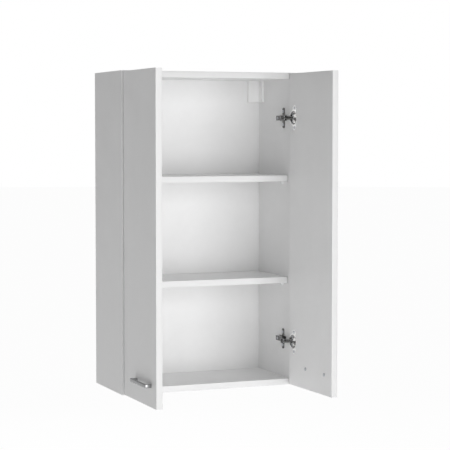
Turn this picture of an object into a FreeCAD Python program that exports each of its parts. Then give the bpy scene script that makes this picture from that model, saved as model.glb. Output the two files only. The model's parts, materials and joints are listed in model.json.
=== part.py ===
import FreeCAD, Part

# Hanging wall cabinet: carcass with two shelves, two doors on concealed cup hinges, hidden wall hangers.
#
# Millimetres, +Z up. The wall plane is y = 0 and the doors face -Y. x = 0 is the cabinet's mid-width and
# z = 0 its underside. Each door side also has a plan frame (u, v): u runs inward from the side panel's
# outer face, v runs forward from the carcass front. All hinge points are given in it for a closed door,
# and sizes named "_in" are counted from the side panel's inner face, where the hinge is screwed on.

import math
import operator
import os

import Sketcher

Vector = FreeCAD.Vector

doc = FreeCAD.newDocument("HangingWallCabinet")
sheet = doc.addObject("Spreadsheet::Sheet", "Sizes")

# alias, value, meaning
SIZES = [
    ("width", 450.0, "carcass width over the side panels"),
    ("height", 768.0, "carcass height"),
    ("depth", 205.0, "carcass depth with the front edge band"),
    ("board", 15.0, "thickness of every carcass, shelf and door board"),
    ("band", 0.8, "edge band thickness"),
    ("fit_gap", 0.05, "radial clearance of a pushed-in fastener"),
    ("end_gap", 0.3, "free depth at the blind end of a bore"),
    ("pin_fit", 0.02, "radial clearance of a fixed hinge pin"),
    ("run_gap", 0.06, "radial clearance of a running pivot"),
    # back panel in its grooves
    ("back_thick", 3.0, "back panel thickness"),
    ("back_setback", 10.0, "wall plane to the back panel's rear face"),
    ("groove_deep", 6.0, "depth of the back panel groove"),
    ("back_entry", 5.0, "how far the back panel enters its grooves"),
    # shelves
    ("shelf_recess", 12.0, "carcass front to the shelf front"),
    ("shelf_side_gap", 0.5, "shelf end to side panel"),
    ("shelf_rear_gap", 1.0, "shelf rear edge to back panel"),
    ("system_inset", 37.0, "carcass front to the first column of fittings"),
    ("pin_rear_inset", 40.0, "wall plane to the rear shelf pins"),
    ("pin_radius", 2.5, "shelf pin shank radius"),
    ("pin_shank", 9.0, "shelf pin length in the side panel"),
    ("pin_head_radius", 3.5, "shelf pin support radius"),
    ("pin_head", 8.0, "shelf pin length under the shelf"),
    # knock-down fittings between the side panels and the top and bottom
    ("cam_inset", 34.0, "side panel face to cam axis"),
    ("cam_radius", 7.5, "cam lock radius"),
    ("cam_thick", 12.0, "cam lock thickness"),
    ("cam_rear_inset", 37.0, "wall plane to the rear cams"),
    ("cam_mouth_gap", 0.6, "clearance of the bolt head in the cam's mouth"),
    ("cross_reach", 3.4, "half length of the cross slot in a cam"),
    ("cross_half", 0.8, "half width of the cross slot in a cam"),
    ("cross_deep", 2.0, "depth of the cross slot in a cam"),
    ("bolt_thread_radius", 3.0, "cam bolt thread radius"),
    ("bolt_thread", 11.0, "cam bolt length in the side panel"),
    ("bolt_shaft_radius", 3.4, "cam bolt shaft radius"),
    ("bolt_shaft", 25.0, "cam bolt shaft length"),
    ("bolt_neck_radius", 1.9, "cam bolt neck radius"),
    ("bolt_neck", 4.5, "cam bolt neck length"),
    ("bolt_head_radius", 3.0, "cam bolt head radius"),
    ("bolt_head", 3.5, "cam bolt head length"),
    ("dowel_radius", 4.0, "wooden dowel radius"),
    ("dowel_in_side", 11.0, "dowel length in the side panel"),
    ("dowel_in_board", 20.0, "dowel length in the top or bottom"),
    ("dowel_offset", 32.0, "cam to neighbouring dowel"),
    # doors
    ("door_reveal", 1.0, "side panel outer face to door edge"),
    ("door_mid_gap", 2.0, "gap between the two closed doors"),
    ("door_end_gap", 2.0, "door end to the carcass end"),
    ("door_gap", 2.0, "closed door to carcass front"),
    ("left_open", 90.0, "left door angle at rest, degrees from closed"),
    ("right_open", 92.0, "right door angle at rest, degrees from closed"),
    # handles
    ("handle_hole_inset", 37.0, "door free edge to the nearer handle screw"),
    ("handle_pitch", 96.0, "handle screw pitch"),
    ("handle_leg", 9.0, "handle leg width"),
    ("handle_rise", 15.0, "handle outer face above the door"),
    ("handle_bar", 4.0, "handle bar thickness"),
    ("handle_tall", 8.0, "handle height"),
    ("handle_level", 51.0, "handle axis above the carcass underside"),
    ("handle_round", 1.2, "handle corner radius"),
    ("handle_screw_radius", 2.0, "handle screw radius"),
    ("handle_screw_entry", 8.0, "handle screw length in the leg"),
    ("handle_screw_head_radius", 4.2, "handle screw head radius"),
    ("handle_screw_head", 2.4, "handle screw head thickness"),
    # hinges
    ("hinge_level", 110.0, "hinge axis to the nearer carcass end"),
    ("cup_in", 8.5, "side panel inner face to cup axis, door closed"),
    ("cup_radius", 17.5, "cup bore radius"),
    ("cup_deep", 12.2, "cup bore depth"),
    ("cup_wall", 1.1, "cup wall thickness"),
    ("cup_floor", 0.8, "cup floor thickness"),
    ("flange_thick", 1.2, "cup flange thickness"),
    ("flange_lip", 1.5, "cup flange beyond the cup bore"),
    ("flange_tall", 60.0, "flange wing length"),
    ("flange_wide", 18.0, "flange wing width"),
    ("flange_round", 8.0, "flange wing corner radius"),
    ("cup_screw_pitch", 48.0, "cup screw pitch"),
    ("cup_screw_in", 6.0, "cup axis to the cup screws, away from the hinge edge"),
    ("cup_screw_radius", 1.75, "cup screw radius"),
    ("cup_screw_long", 11.0, "cup screw length in the door"),
    ("cup_screw_head_radius", 3.6, "cup screw head radius"),
    ("cup_screw_head", 1.4, "cup screw head height"),
    ("pivot_a_in", 21.0, "outer link pivot on the arm, u from the inner face"),
    ("pivot_a_v", 4.1, "outer link pivot on the arm, v"),
    ("pivot_b_in", -3.3, "outer link pivot in the cup, u from the inner face"),
    ("pivot_b_v", 5.9, "outer link pivot in the cup, v"),
    ("pivot_c_in", 20.7, "inner link pivot on the arm, u from the inner face"),
    ("pivot_c_v", 10.5, "inner link pivot on the arm, v"),
    ("nose_d_in", 1.0, "inner link nose in the cup, u from the inner face"),
    ("nose_d_v", 3.9, "inner link nose in the cup, v"),
    ("outer_ratio", -0.27, "outer link turn per door turn"),
    ("inner_ratio", -0.48, "inner link turn per door turn"),
    ("hinge_pin_radius", 1.0, "hinge pin radius"),
    ("cup_pin_gap", 0.13, "cup pin end to the cup's outer wall"),
    ("arm_half", 5.7, "half width of the hinge arm"),
    ("arm_wall", 1.3, "hinge arm sheet thickness"),
    ("arm_rise", 10.5, "side panel inner face to the top of the hinge arm"),
    ("arm_rear", -60.0, "rear end of the hinge arm, v"),
    ("arm_lift", 3.2, "side panel inner face to the lower edge of the hinge arm"),
    ("link_eye", 2.3, "link eye radius"),
    ("link_cheek_in", 2.7, "outer link cheek, inner face from mid-plane"),
    ("link_cheek_out", 4.1, "outer link cheek, outer face from mid-plane"),
    ("inner_link_half", 2.2, "half width of the inner link"),
    ("nose_radius", 1.2, "inner link nose radius"),
    ("plate_thick", 1.8, "mounting plate wing thickness"),
    ("wing_half", 25.0, "mounting plate wing half length"),
    ("wing_wide", 11.0, "mounting plate wing width"),
    ("wing_round", 4.0, "mounting plate wing corner radius"),
    ("plate_margin", 1.0, "mounting plate beyond the arm at each side"),
    ("plate_pitch", 32.0, "mounting plate screw pitch"),
    ("block_half", 4.2, "half width of the mounting plate block"),
    ("block_front", -25.0, "front end of the mounting plate block, v"),
    ("plate_screw_radius", 2.5, "mounting plate screw radius"),
    ("plate_screw_long", 11.0, "mounting plate screw length in the side panel"),
    ("plate_screw_head_radius", 4.3, "mounting plate screw head radius"),
    ("plate_screw_head", 1.5, "mounting plate screw head height"),
    ("fix_screw_v", -50.0, "arm fixing screw, v"),
    ("side_screw_v", -31.0, "arm side adjusting screw, v"),
    ("adjust_radius", 2.0, "hinge adjusting screw radius"),
    ("adjust_head_radius", 3.4, "hinge fixing screw head radius"),
    ("adjust_head", 1.6, "hinge fixing screw head height"),
    ("adjust_entry", 5.0, "hinge adjusting screw length in the block"),
    ("adjust_travel", 4.0, "half length of the fixing screw's slot beyond its axis"),
    ("adjust_gap", 0.3, "side clearance of the fixing screw in its slot"),
    # wall hangers
    ("hanger_tall", 54.0, "hanger cover height"),
    ("cover_wide", 33.0, "hanger cover width on the back panel"),
    ("cover_thin", 11.0, "hanger cover thickness on the back panel"),
    ("cover_deep", 32.0, "hanger cover depth on the side panel"),
    ("cover_thick", 5.5, "hanger cover thickness on the side panel"),
    ("cover_wall", 0.8, "hanger cover wall"),
    ("housing_thick", 3.6, "hanger housing thickness"),
    ("housing_deep", 29.0, "hanger housing depth"),
    ("housing_end_gap", 2.0, "cover end to housing end"),
    ("housing_flange", 1.5, "hanger housing rear flange thickness"),
    ("housing_flange_wide", 24.0, "hanger housing rear flange width"),
    ("hook_thick", 2.0, "hanger hook thickness"),
    ("hook_gap", 0.2, "hanger hook side clearance in its housing"),
    ("hook_neck_drop", 29.0, "underside of the top panel to underside of the hook neck"),
    ("hook_neck_tall", 14.0, "hook neck height"),
    ("hook_tail_deep", 23.0, "hook length ahead of the back panel"),
    ("hook_tail_drop", 8.0, "hook tail below the neck"),
    ("hook_tip_drop", 8.0, "hook tip below the neck"),
    ("hook_wall_gap", 0.7, "hook tip to wall"),
    ("hook_tip_thick", 2.6, "hook tip thickness"),
    ("hook_bevel", 4.0, "bevel on the hook's upper rear corner"),
    ("hook_seat_gap", 1.0, "hook to the ends of the housing's slot and to the back panel"),
    ("window_wide", 5.0, "back panel window width"),
    ("window_margin", 2.0, "window margin over and under the hook neck"),
    ("hanger_screw_radius", 1.7, "hanger screw radius"),
    ("hanger_screw_long", 11.0, "hanger screw length in the side panel"),
    ("hanger_screw_head_radius", 3.2, "hanger screw head radius"),
    ("hanger_screw_head", 0.8, "hanger screw head height"),
    ("hanger_screw_edge", 5.0, "hanger screw to the housing's edges"),
    ("wall_plate_thick", 2.0, "wall plate thickness"),
    ("wall_plate_wide", 60.0, "wall plate width"),
    ("wall_plate_tall", 40.0, "hook neck to the wall plate's lower edge"),
    ("wall_plate_jog_start", 24.0, "wall plate's lower edge to the start of its jog"),
    ("wall_plate_jog_tall", 6.0, "height of the wall plate's jog"),
    ("wall_plate_jog", 4.0, "wall plate's jog away from the wall"),
    ("wall_plate_side_gap", 1.0, "wall plate to side panel"),
    ("wall_hole_rise", 12.0, "wall plate's lower edge to its holes"),
    ("wall_hole_pitch", 32.0, "wall plate hole pitch"),
    ("wall_hole_radius", 3.0, "wall plate hole radius"),
]


OPERATIONS = {"+": operator.add, "-": operator.sub, "*": operator.mul, "/": operator.truediv}


class Size:
    """A number with the spreadsheet expression that makes it, so that arithmetic keeps both."""

    def __init__(self, value, text):
        self.value = value
        self.text = text

    def _join(self, other, sign, swap=False):
        other = as_size(other)
        left, right = (other, self) if swap else (self, other)
        value = OPERATIONS[sign](left.value, right.value)
        return Size(value, "(%s %s %s)" % (left.text, sign, right.text))

    def __add__(self, other):
        return self._join(other, "+")

    def __radd__(self, other):
        return self._join(other, "+", swap=True)

    def __sub__(self, other):
        return self._join(other, "-")

    def __rsub__(self, other):
        return self._join(other, "-", swap=True)

    def __mul__(self, other):
        return self._join(other, "*")

    def __rmul__(self, other):
        return self._join(other, "*", swap=True)

    def __truediv__(self, other):
        return self._join(other, "/")

    def __neg__(self):
        return Size(-self.value, "(-1 * %s)" % self.text)


def as_size(number):
    """Wrap a plain number, leave a Size alone."""
    if isinstance(number, Size):
        return number
    return Size(float(number), "(%.6g)" % number)


def cosine(angle):
    return Size(math.cos(math.radians(angle.value)), "cos(%s * 1 deg)" % angle.text)


def sine(angle):
    return Size(math.sin(math.radians(angle.value)), "sin(%s * 1 deg)" % angle.text)


def chord_half(radius, distance):
    """Half the chord that a circle leaves at a distance from its centre."""
    square = radius * radius - distance * distance
    return Size(math.sqrt(square.value), "sqrt(%s)" % square.text)


S = {}
for row, (alias, number, meaning) in enumerate(SIZES, start=1):
    sheet.set("A%d" % row, repr(number))
    sheet.setAlias("A%d" % row, alias)
    sheet.set("B%d" % row, meaning)
    S[alias] = Size(number, "Sizes." + alias)
doc.recompute()

HALF_WIDTH = S["width"] / 2
INNER_HALF = HALF_WIDTH - S["board"]
CORE_DEPTH = S["depth"] - S["band"]
BACK_FRONT = -(S["back_setback"] + S["back_thick"])
FRONT = -S["depth"]
HOOK_NECK_LOW = S["height"] - S["board"] - S["hook_neck_drop"]
HINGE_LEVELS = {"lower": S["hinge_level"], "upper": S["height"] - S["hinge_level"]}
SIDES = {"left": -1, "right": 1}
OPEN = {"left": S["left_open"], "right": S["right_open"]}
PAST = 5.0  # how far a cut runs past the surface it starts from
CUTS = []


# ---------------------------------------------------------------- building helpers

def new_body(label, x=0, y=0, z=0, turn=None):
    """Start a PartDesign body whose own frame sits at (x, y, z), turned about +Z by the angle `turn`."""
    body = doc.addObject("PartDesign::Body", label)
    body.Label = label
    place(body, x, y, z, turn)
    return body


def place(item, x=0, y=0, z=0, turn=None):
    x, y, z = as_size(x), as_size(y), as_size(z)
    angle = turn.value if turn else 0.0
    rotation = FreeCAD.Rotation(Vector(0, 0, 1), angle)
    item.Placement = FreeCAD.Placement(Vector(x.value, y.value, z.value), rotation)
    item.setExpression("Placement.Base.x", x.text)
    item.setExpression("Placement.Base.y", y.text)
    item.setExpression("Placement.Base.z", z.text)
    if turn:
        item.setExpression("Placement.Rotation.Angle", turn.text)


def origin_plane(body, role):
    return [item for item in body.Origin.OriginFeatures if item.Role == role][0]


def new_sketch(body, plane, offset=0):
    """A sketch on one of the body's origin planes ("XY", "XZ" or "YZ"), moved along its axis by offset."""
    sketch = body.newObject("Sketcher::SketchObject", body.Name + "_sketch")
    sketch.AttachmentSupport = (origin_plane(body, plane + "_Plane"), [""])
    sketch.MapMode = "FlatFace"
    shift = -as_size(offset) if plane == "XZ" else as_size(offset)
    sketch.AttachmentOffset = FreeCAD.Placement(Vector(0, 0, shift.value), FreeCAD.Rotation())
    sketch.setExpression("AttachmentOffset.Base.z", shift.text)
    return sketch


def bind(sketch, kind, size, *where):
    size = as_size(size)
    index = sketch.addConstraint(Sketcher.Constraint(kind, *where, size.value))
    sketch.setExpression("Constraints[%d]" % index, size.text)


def pin_point(sketch, geometry, vertex, x, y):
    bind(sketch, "DistanceX", x, -1, 1, geometry, vertex)
    bind(sketch, "DistanceY", y, -1, 1, geometry, vertex)


def polygon(sketch, points):
    """A closed outline through points, every corner tied to the sheet."""
    points = [(as_size(x), as_size(y)) for x, y in points]
    first = sketch.GeometryCount
    count = len(points)
    for i in range(count):
        a = points[i]
        b = points[(i + 1) % count]
        line = Part.LineSegment(Vector(a[0].value, a[1].value, 0), Vector(b[0].value, b[1].value, 0))
        sketch.addGeometry(line, False)
    for i in range(count):
        sketch.addConstraint(Sketcher.Constraint("Coincident", first + i, 2, first + (i + 1) % count, 1))
    for i in range(count):
        pin_point(sketch, first + i, 1, points[i][0], points[i][1])


def rectangle(sketch, x0, y0, x1, y1):
    polygon(sketch, [(x0, y0), (x1, y0), (x1, y1), (x0, y1)])


def circle(sketch, x, y, radius):
    x, y, radius = as_size(x), as_size(y), as_size(radius)
    index = sketch.addGeometry(Part.Circle(Vector(x.value, y.value, 0), Vector(0, 0, 1), radius.value), False)
    pin_point(sketch, index, 3, x, y)
    bind(sketch, "Radius", radius, index)


def extrude(body, kind, sketch, length, towards):
    """Pad or Pocket along the row axis; towards is +1 or -1 on that axis."""
    feature = body.newObject("PartDesign::" + kind, body.Name + "_" + kind.lower())
    feature.Profile = sketch
    length = as_size(length)
    feature.Length = length.value
    feature.setExpression("Length", length.text)
    normal = -1 if sketch.AttachmentSupport[0][0].Role == "XZ_Plane" else 1
    default = normal if kind == "Pad" else -normal
    feature.Reversed = towards != default
    sketch.Visibility = False
    if kind == "Pocket":
        CUTS.append((body, feature))
    return feature


def slab(body, plane, low, high, draw, kind="Pad"):
    """Extrude from low to high on the plane's axis whatever `draw(sketch)` puts in the sketch."""
    sketch = new_sketch(body, plane, low)
    draw(sketch)
    return extrude(body, kind, sketch, as_size(high) - low, 1)


def block(body, x0, x1, y0, y1, z0, z1, kind="Pad"):
    return slab(body, "XY", z0, z1, lambda sketch: rectangle(sketch, x0, y0, x1, y1), kind)


def discs(body, plane, low, high, centres, radius, kind="Pad"):
    """Round pads or holes with one radius at each centre."""
    def draw(sketch):
        for x, y in centres:
            circle(sketch, x, y, radius)
    return slab(body, plane, low, high, draw, kind)


def mirror_x(body, features):
    """Repeat features on the other side of x = 0."""
    feature = body.newObject("PartDesign::Mirrored", body.Name + "_mirrored")
    feature.Originals = features
    feature.MirrorPlane = (origin_plane(body, "YZ_Plane"), [""])
    body.Tip = feature
    return feature


def span(side, a, b):
    """Order two inboard distances a < b from a local origin so that the lower x comes first."""
    return (as_size(a), as_size(b)) if side < 0 else (-as_size(b), -as_size(a))


def round_edges(body, base, radius, keep):
    """Fillet every edge of base whose middle passes keep(point, direction)."""
    doc.recompute()
    names = []
    for index, edge in enumerate(base.Shape.Edges, start=1):
        middle = edge.valueAt((edge.FirstParameter + edge.LastParameter) / 2)
        direction = edge.tangentAt((edge.FirstParameter + edge.LastParameter) / 2)
        if keep(middle, direction):
            names.append("Edge%d" % index)
    fillet = body.newObject("PartDesign::Fillet", body.Name + "_fillet")
    fillet.Base = (base, names)
    fillet.Radius = radius.value
    fillet.setExpression("Radius", radius.text)
    return fillet


def strips(label, boxes, x=0, y=0, z=0, turn=None):
    """Several straight strips as one named piece: each box is (x0, x1, y0, y1, z0, z1)."""
    links = []
    for x0, x1, y0, y1, z0, z1 in boxes:
        strip = doc.addObject("Part::Box", label + "_strip")
        for name, low, high in (("Length", x0, x1), ("Width", y0, y1), ("Height", z0, z1)):
            strip.setExpression(name, (as_size(high) - low).text)
        place(strip, x0, y0, z0)
        links.append(strip)
    group = doc.addObject("Part::Compound", label)
    group.Label = label
    group.Links = links
    place(group, x, y, z, turn)
    return group


NODES = []


# ---------------------------------------------------------------- carcass

def fitting_rows(inset):
    """Plan positions of one front and one rear fitting of a carcass corner joint."""
    return [FRONT + S["system_inset"] + inset, -S["cam_rear_inset"] - inset]


BOARD_LEVELS = [S["board"] / 2, S["height"] - S["board"] / 2]
CAM_SPOTS = [(y, z) for y in fitting_rows(0) for z in BOARD_LEVELS]
DOWEL_SPOTS = [(y, z) for y in fitting_rows(S["dowel_offset"]) for z in BOARD_LEVELS]
BAY = (S["height"] - 4 * S["board"]) / 3
SHELF_LEVELS = {"lower": S["board"] + BAY, "upper": 2 * S["board"] + 2 * BAY}
PIN_ROWS = [FRONT + S["system_inset"], -S["pin_rear_inset"]]
PIN_SPOTS = [(y, level - S["pin_head_radius"]) for y in PIN_ROWS for level in SHELF_LEVELS.values()]
PLATE_SPOTS = [
    (FRONT + S["system_inset"], level + sign * S["plate_pitch"] / 2)
    for level in HINGE_LEVELS.values() for sign in (-1, 1)
]
HOUSING_TOP = S["height"] - S["board"] - S["housing_end_gap"]
HOUSING_LOW = S["height"] - S["board"] - S["hanger_tall"] + S["housing_end_gap"]
HANGER_SPOTS = [
    (BACK_FRONT - S["housing_deep"] + S["hanger_screw_edge"], z)
    for z in (HOUSING_LOW + S["hanger_screw_edge"], HOUSING_TOP - S["hanger_screw_edge"])
]
WINDOW_LOW = HOOK_NECK_LOW - S["window_margin"]
WINDOW_HIGH = HOOK_NECK_LOW + S["hook_neck_tall"] + S["window_margin"]


def side_panel(label, side):
    """Full-height side: back groove, and bores for every fitting, all on the inner face."""
    body = new_body(label)
    low, high = (INNER_HALF, HALF_WIDTH) if side > 0 else (-HALF_WIDTH, -INNER_HALF)
    block(body, low, high, -CORE_DEPTH, 0, 0, S["height"])
    face = side * INNER_HALF

    def bore(spots, depth, radius):
        end = face + side * (depth + S["end_gap"])
        start = face - side * PAST
        a, b = (start, end) if side > 0 else (end, start)
        discs(body, "YZ", a, b, spots, radius + S["fit_gap"], "Pocket")

    groove_end = face + side * S["groove_deep"]
    a, b = (face - PAST, groove_end) if side > 0 else (groove_end, face + PAST)
    block(body, a, b, BACK_FRONT, -S["back_setback"], -PAST, S["height"] + PAST, "Pocket")
    bore(CAM_SPOTS, S["bolt_thread"], S["bolt_thread_radius"])
    bore(DOWEL_SPOTS, S["dowel_in_side"], S["dowel_radius"])
    bore(PIN_SPOTS, S["pin_shank"], S["pin_radius"])
    bore(PLATE_SPOTS, S["plate_screw_long"], S["plate_screw_radius"])
    bore(HANGER_SPOTS, S["hanger_screw_long"], S["hanger_screw_radius"])
    NODES.append(body)


def end_panel(label, low, outside):
    """Top or bottom board between the sides; the cams let in from its outside face."""
    body = new_body(label)
    high = low + S["board"]
    block(body, -INNER_HALF, INNER_HALF, -CORE_DEPTH, 0, low, high)
    inner_face = low if outside > 0 else high
    cut = inner_face + outside * S["groove_deep"]
    a, b = (inner_face - PAST, cut) if outside > 0 else (cut, inner_face + PAST)
    block(body, -INNER_HALF - PAST, INNER_HALF + PAST, BACK_FRONT, -S["back_setback"], a, b, "Pocket")
    mid = low + S["board"] / 2
    outer_face = high if outside > 0 else low
    cut = outer_face - outside * (S["cam_thick"] + S["end_gap"])
    a, b = (cut, outer_face + PAST) if outside > 0 else (outer_face - PAST, cut)
    for side in (-1, 1):
        face = side * INNER_HALF
        cam_x = face - side * S["cam_inset"]
        spots = [(cam_x, y) for y in fitting_rows(0)]
        discs(body, "XY", a, b, spots, S["cam_radius"] + S["fit_gap"], "Pocket")
        past = face + side * PAST
        for rows, depth, radius in (
            (fitting_rows(0), S["cam_inset"], S["bolt_shaft_radius"]),
            (fitting_rows(S["dowel_offset"]), S["dowel_in_board"] + S["end_gap"], S["dowel_radius"]),
        ):
            end = face - side * depth
            c, d = (end, past) if side > 0 else (past, end)
            discs(body, "YZ", c, d, [(y, mid) for y in rows], radius + S["fit_gap"], "Pocket")
    NODES.append(body)


def back_panel():
    """Thin panel in the grooves, with one window for each hanger hook."""
    body = new_body("back_panel")
    reach = INNER_HALF + S["back_entry"]
    low = S["board"] - S["back_entry"]
    high = S["height"] - S["board"] + S["back_entry"]
    block(body, -reach, reach, BACK_FRONT, -S["back_setback"], low, high)
    for side in (-1, 1):
        edge = side * INNER_HALF
        other = edge - side * S["window_wide"]
        a, b = (other, edge) if side > 0 else (edge, other)
        block(body, a, b, BACK_FRONT - PAST, -S["back_setback"] + PAST, WINDOW_LOW, WINDOW_HIGH, "Pocket")
    NODES.append(body)


def shelf(label, low):
    body = new_body(label)
    reach = INNER_HALF - S["shelf_side_gap"]
    front = FRONT + S["shelf_recess"] + S["band"]
    block(body, -reach, reach, front, BACK_FRONT - S["shelf_rear_gap"], low, low + S["board"])
    NODES.append(body)


def carcass_bands():
    """Edge bands on the carcass front and on the shelf fronts."""
    front, rear = FRONT, -CORE_DEPTH
    top = S["height"] - S["board"]
    NODES.append(strips("carcass_edge_bands", [
        (-HALF_WIDTH, -INNER_HALF, front, rear, 0, S["height"]),
        (INNER_HALF, HALF_WIDTH, front, rear, 0, S["height"]),
        (-INNER_HALF, INNER_HALF, front, rear, 0, S["board"]),
        (-INNER_HALF, INNER_HALF, front, rear, top, S["height"]),
    ]))
    reach = INNER_HALF - S["shelf_side_gap"]
    front = FRONT + S["shelf_recess"]
    NODES.append(strips("shelf_edge_bands", [
        (-reach, reach, front, front + S["band"], low, low + S["board"]) for low in SHELF_LEVELS.values()
    ]))


def corner_fittings():
    """Cam locks, cam bolts and dowels of the four corner joints."""
    body = new_body("cam_locks")
    cam_x = INNER_HALF - S["cam_inset"]
    spots = [(cam_x, y) for y in fitting_rows(0)]
    top_low = S["height"] - S["cam_thick"]
    features = [
        discs(body, "XY", 0, S["cam_thick"], spots, S["cam_radius"]),
        discs(body, "XY", top_low, S["height"], spots, S["cam_radius"]),
    ]
    mouth = S["bolt_head_radius"] + S["cam_mouth_gap"]
    arm, half = S["cross_reach"], S["cross_half"]
    inner = cam_x - S["bolt_head"]
    features.append(discs(body, "YZ", inner, INNER_HALF, CAM_SPOTS, mouth, "Pocket"))

    def crosses(sketch):
        for x, y in spots:
            corners = [(-arm, -half), (-half, -half), (-half, -arm), (half, -arm), (half, -half),
                       (arm, -half),
                       (arm, half), (half, half), (half, arm), (-half, arm), (-half, half), (-arm, half)]
            polygon(sketch, [(x + dx, y + dy) for dx, dy in corners])
    features.append(slab(body, "XY", -PAST, S["cross_deep"], crosses, "Pocket"))
    features.append(slab(body, "XY", S["height"] - S["cross_deep"], S["height"] + PAST, crosses, "Pocket"))
    mirror_x(body, features)
    NODES.append(body)

    body = new_body("cam_bolts")
    start = INNER_HALF + S["bolt_thread"]
    features = []
    for section in ("bolt_thread", "bolt_shaft", "bolt_neck", "bolt_head"):
        end = start - S[section]
        features.append(discs(body, "YZ", end, start, CAM_SPOTS, S[section + "_radius"]))
        start = end
    mirror_x(body, features)
    NODES.append(body)

    body = new_body("dowels")
    low = INNER_HALF - S["dowel_in_board"]
    high = INNER_HALF + S["dowel_in_side"]
    mirror_x(body, [discs(body, "YZ", low, high, DOWEL_SPOTS, S["dowel_radius"])])
    NODES.append(body)

    body = new_body("shelf_pins")
    mirror_x(body, [
        discs(body, "YZ", INNER_HALF, INNER_HALF + S["pin_shank"], PIN_SPOTS, S["pin_radius"]),
        discs(body, "YZ", INNER_HALF - S["pin_head"], INNER_HALF, PIN_SPOTS, S["pin_head_radius"]),
    ])
    NODES.append(body)


# ---------------------------------------------------------------- wall hangers

def hanger(name, side):
    """Housing on the side panel, hook through the back panel's window, cover, and plate on the wall.

    Built in a frame at the side panel's inner face on the wall plane; `inboard` runs away from the side.
    """
    def frame_body(label):
        return new_body(name + "_" + label, x=side * INNER_HALF)

    def inboard(distance):
        return -side * as_size(distance)

    # housing: flat box on the side panel, open towards it, and a flange on the back panel
    body = frame_body("hanger_housing")
    thick, flange = S["housing_thick"], S["housing_flange"]
    front = BACK_FRONT - S["housing_deep"]
    wide = S["housing_flange_wide"]
    outline = [(0, BACK_FRONT), (wide, BACK_FRONT), (wide, BACK_FRONT - flange), (thick, BACK_FRONT - flange),
               (thick, front), (0, front)]
    slab(body, "XY", HOUSING_LOW, HOUSING_TOP,
         lambda sketch: polygon(sketch, [(inboard(u), y) for u, y in outline]))
    slot_high = S["hook_thick"] + 2 * S["hook_gap"]
    tail_front = BACK_FRONT - S["hook_tail_deep"]
    a, b = span(side, -PAST, slot_high)
    block(body, a, b, tail_front - S["hook_seat_gap"], BACK_FRONT + PAST,
          WINDOW_LOW - S["hook_tail_drop"], WINDOW_HIGH, "Pocket")
    a, b = span(side, -PAST, thick + PAST)
    discs(body, "YZ", a, b, HANGER_SPOTS, S["hanger_screw_radius"] + S["fit_gap"], "Pocket")
    NODES.append(body)

    # hook: plate from the housing through the window, its tip turned down behind the wall plate's lip
    body = frame_body("hanger_hook")
    low = HOOK_NECK_LOW
    high = low + S["hook_neck_tall"]
    shoulder = BACK_FRONT - S["hook_seat_gap"]
    bevel = S["hook_bevel"]
    tip_rear = -S["hook_wall_gap"]
    tip_front = tip_rear - S["hook_tip_thick"]
    outline = [(tail_front, low - S["hook_tail_drop"]), (shoulder, low - S["hook_tail_drop"]),
               (shoulder, low), (tip_front, low), (tip_front, low - S["hook_tip_drop"]),
               (tip_rear, low - S["hook_tip_drop"]), (tip_rear, high - bevel), (tip_rear - bevel, high),
               (tail_front, high)]
    a, b = span(side, S["hook_gap"], S["hook_gap"] + S["hook_thick"])
    slab(body, "YZ", a, b, lambda sketch: polygon(sketch, outline))
    NODES.append(body)

    # cover: L-shaped shell open towards the side and back panels
    body = frame_body("hanger_cover")
    top = S["height"] - S["board"]
    bottom = top - S["hanger_tall"]

    def shell(sketch, inset):
        rear = BACK_FRONT + (PAST if inset.value else 0)
        near = -PAST if inset.value else 0
        points = [(near, rear), (S["cover_wide"] - inset, rear),
                  (S["cover_wide"] - inset, BACK_FRONT - S["cover_thin"] + inset),
                  (S["cover_thick"] - inset, BACK_FRONT - S["cover_thin"] + inset),
                  (S["cover_thick"] - inset, BACK_FRONT - S["cover_deep"] + inset),
                  (near, BACK_FRONT - S["cover_deep"] + inset)]
        polygon(sketch, [(inboard(u), y) for u, y in points])

    slab(body, "XY", bottom, top, lambda sketch: shell(sketch, as_size(0)))
    slab(body, "XY", bottom + S["cover_wall"], top - S["cover_wall"],
         lambda sketch: shell(sketch, S["cover_wall"]), "Pocket")
    NODES.append(body)

    # wall plate: flat against the wall, its top edge jogged forward to a lip for the hook
    body = frame_body("wall_plate")
    thin, jog = S["wall_plate_thick"], S["wall_plate_jog"]
    plate_low = low - S["wall_plate_tall"]
    jog_low = plate_low + S["wall_plate_jog_start"]
    jog_high = jog_low + S["wall_plate_jog_tall"]
    outline = [(0, plate_low), (0, jog_low), (-jog, jog_high), (-jog, low), (-jog - thin, low),
               (-jog - thin, jog_high), (-thin, jog_low), (-thin, plate_low)]
    a, b = span(side, S["wall_plate_side_gap"], S["wall_plate_side_gap"] + S["wall_plate_wide"])
    slab(body, "YZ", a, b, lambda sketch: polygon(sketch, outline))
    middle = S["wall_plate_side_gap"] + S["wall_plate_wide"] / 2
    level = plate_low + S["wall_hole_rise"]
    holes = [(inboard(middle + sign * S["wall_hole_pitch"] / 2), level) for sign in (-1, 1)]
    discs(body, "XZ", -PAST, PAST, holes, S["wall_hole_radius"], "Pocket")
    NODES.append(body)


def hanger_screws():
    body = new_body("hanger_screws")
    seat = INNER_HALF - S["housing_thick"]
    mirror_x(body, [
        discs(body, "YZ", seat, INNER_HALF + S["hanger_screw_long"], HANGER_SPOTS, S["hanger_screw_radius"]),
        discs(body, "YZ", seat - S["hanger_screw_head"], seat, HANGER_SPOTS, S["hanger_screw_head_radius"]),
    ])
    NODES.append(body)


# ---------------------------------------------------------------- hinges

def turned(centre, point, angle):
    """Turn a plan point (u, v) about a centre by an angle in degrees."""
    c, s = cosine(angle), sine(angle)
    du, dv = point[0] - centre[0], point[1] - centre[1]
    return centre[0] + c * du - s * dv, centre[1] + s * du + c * dv


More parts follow.
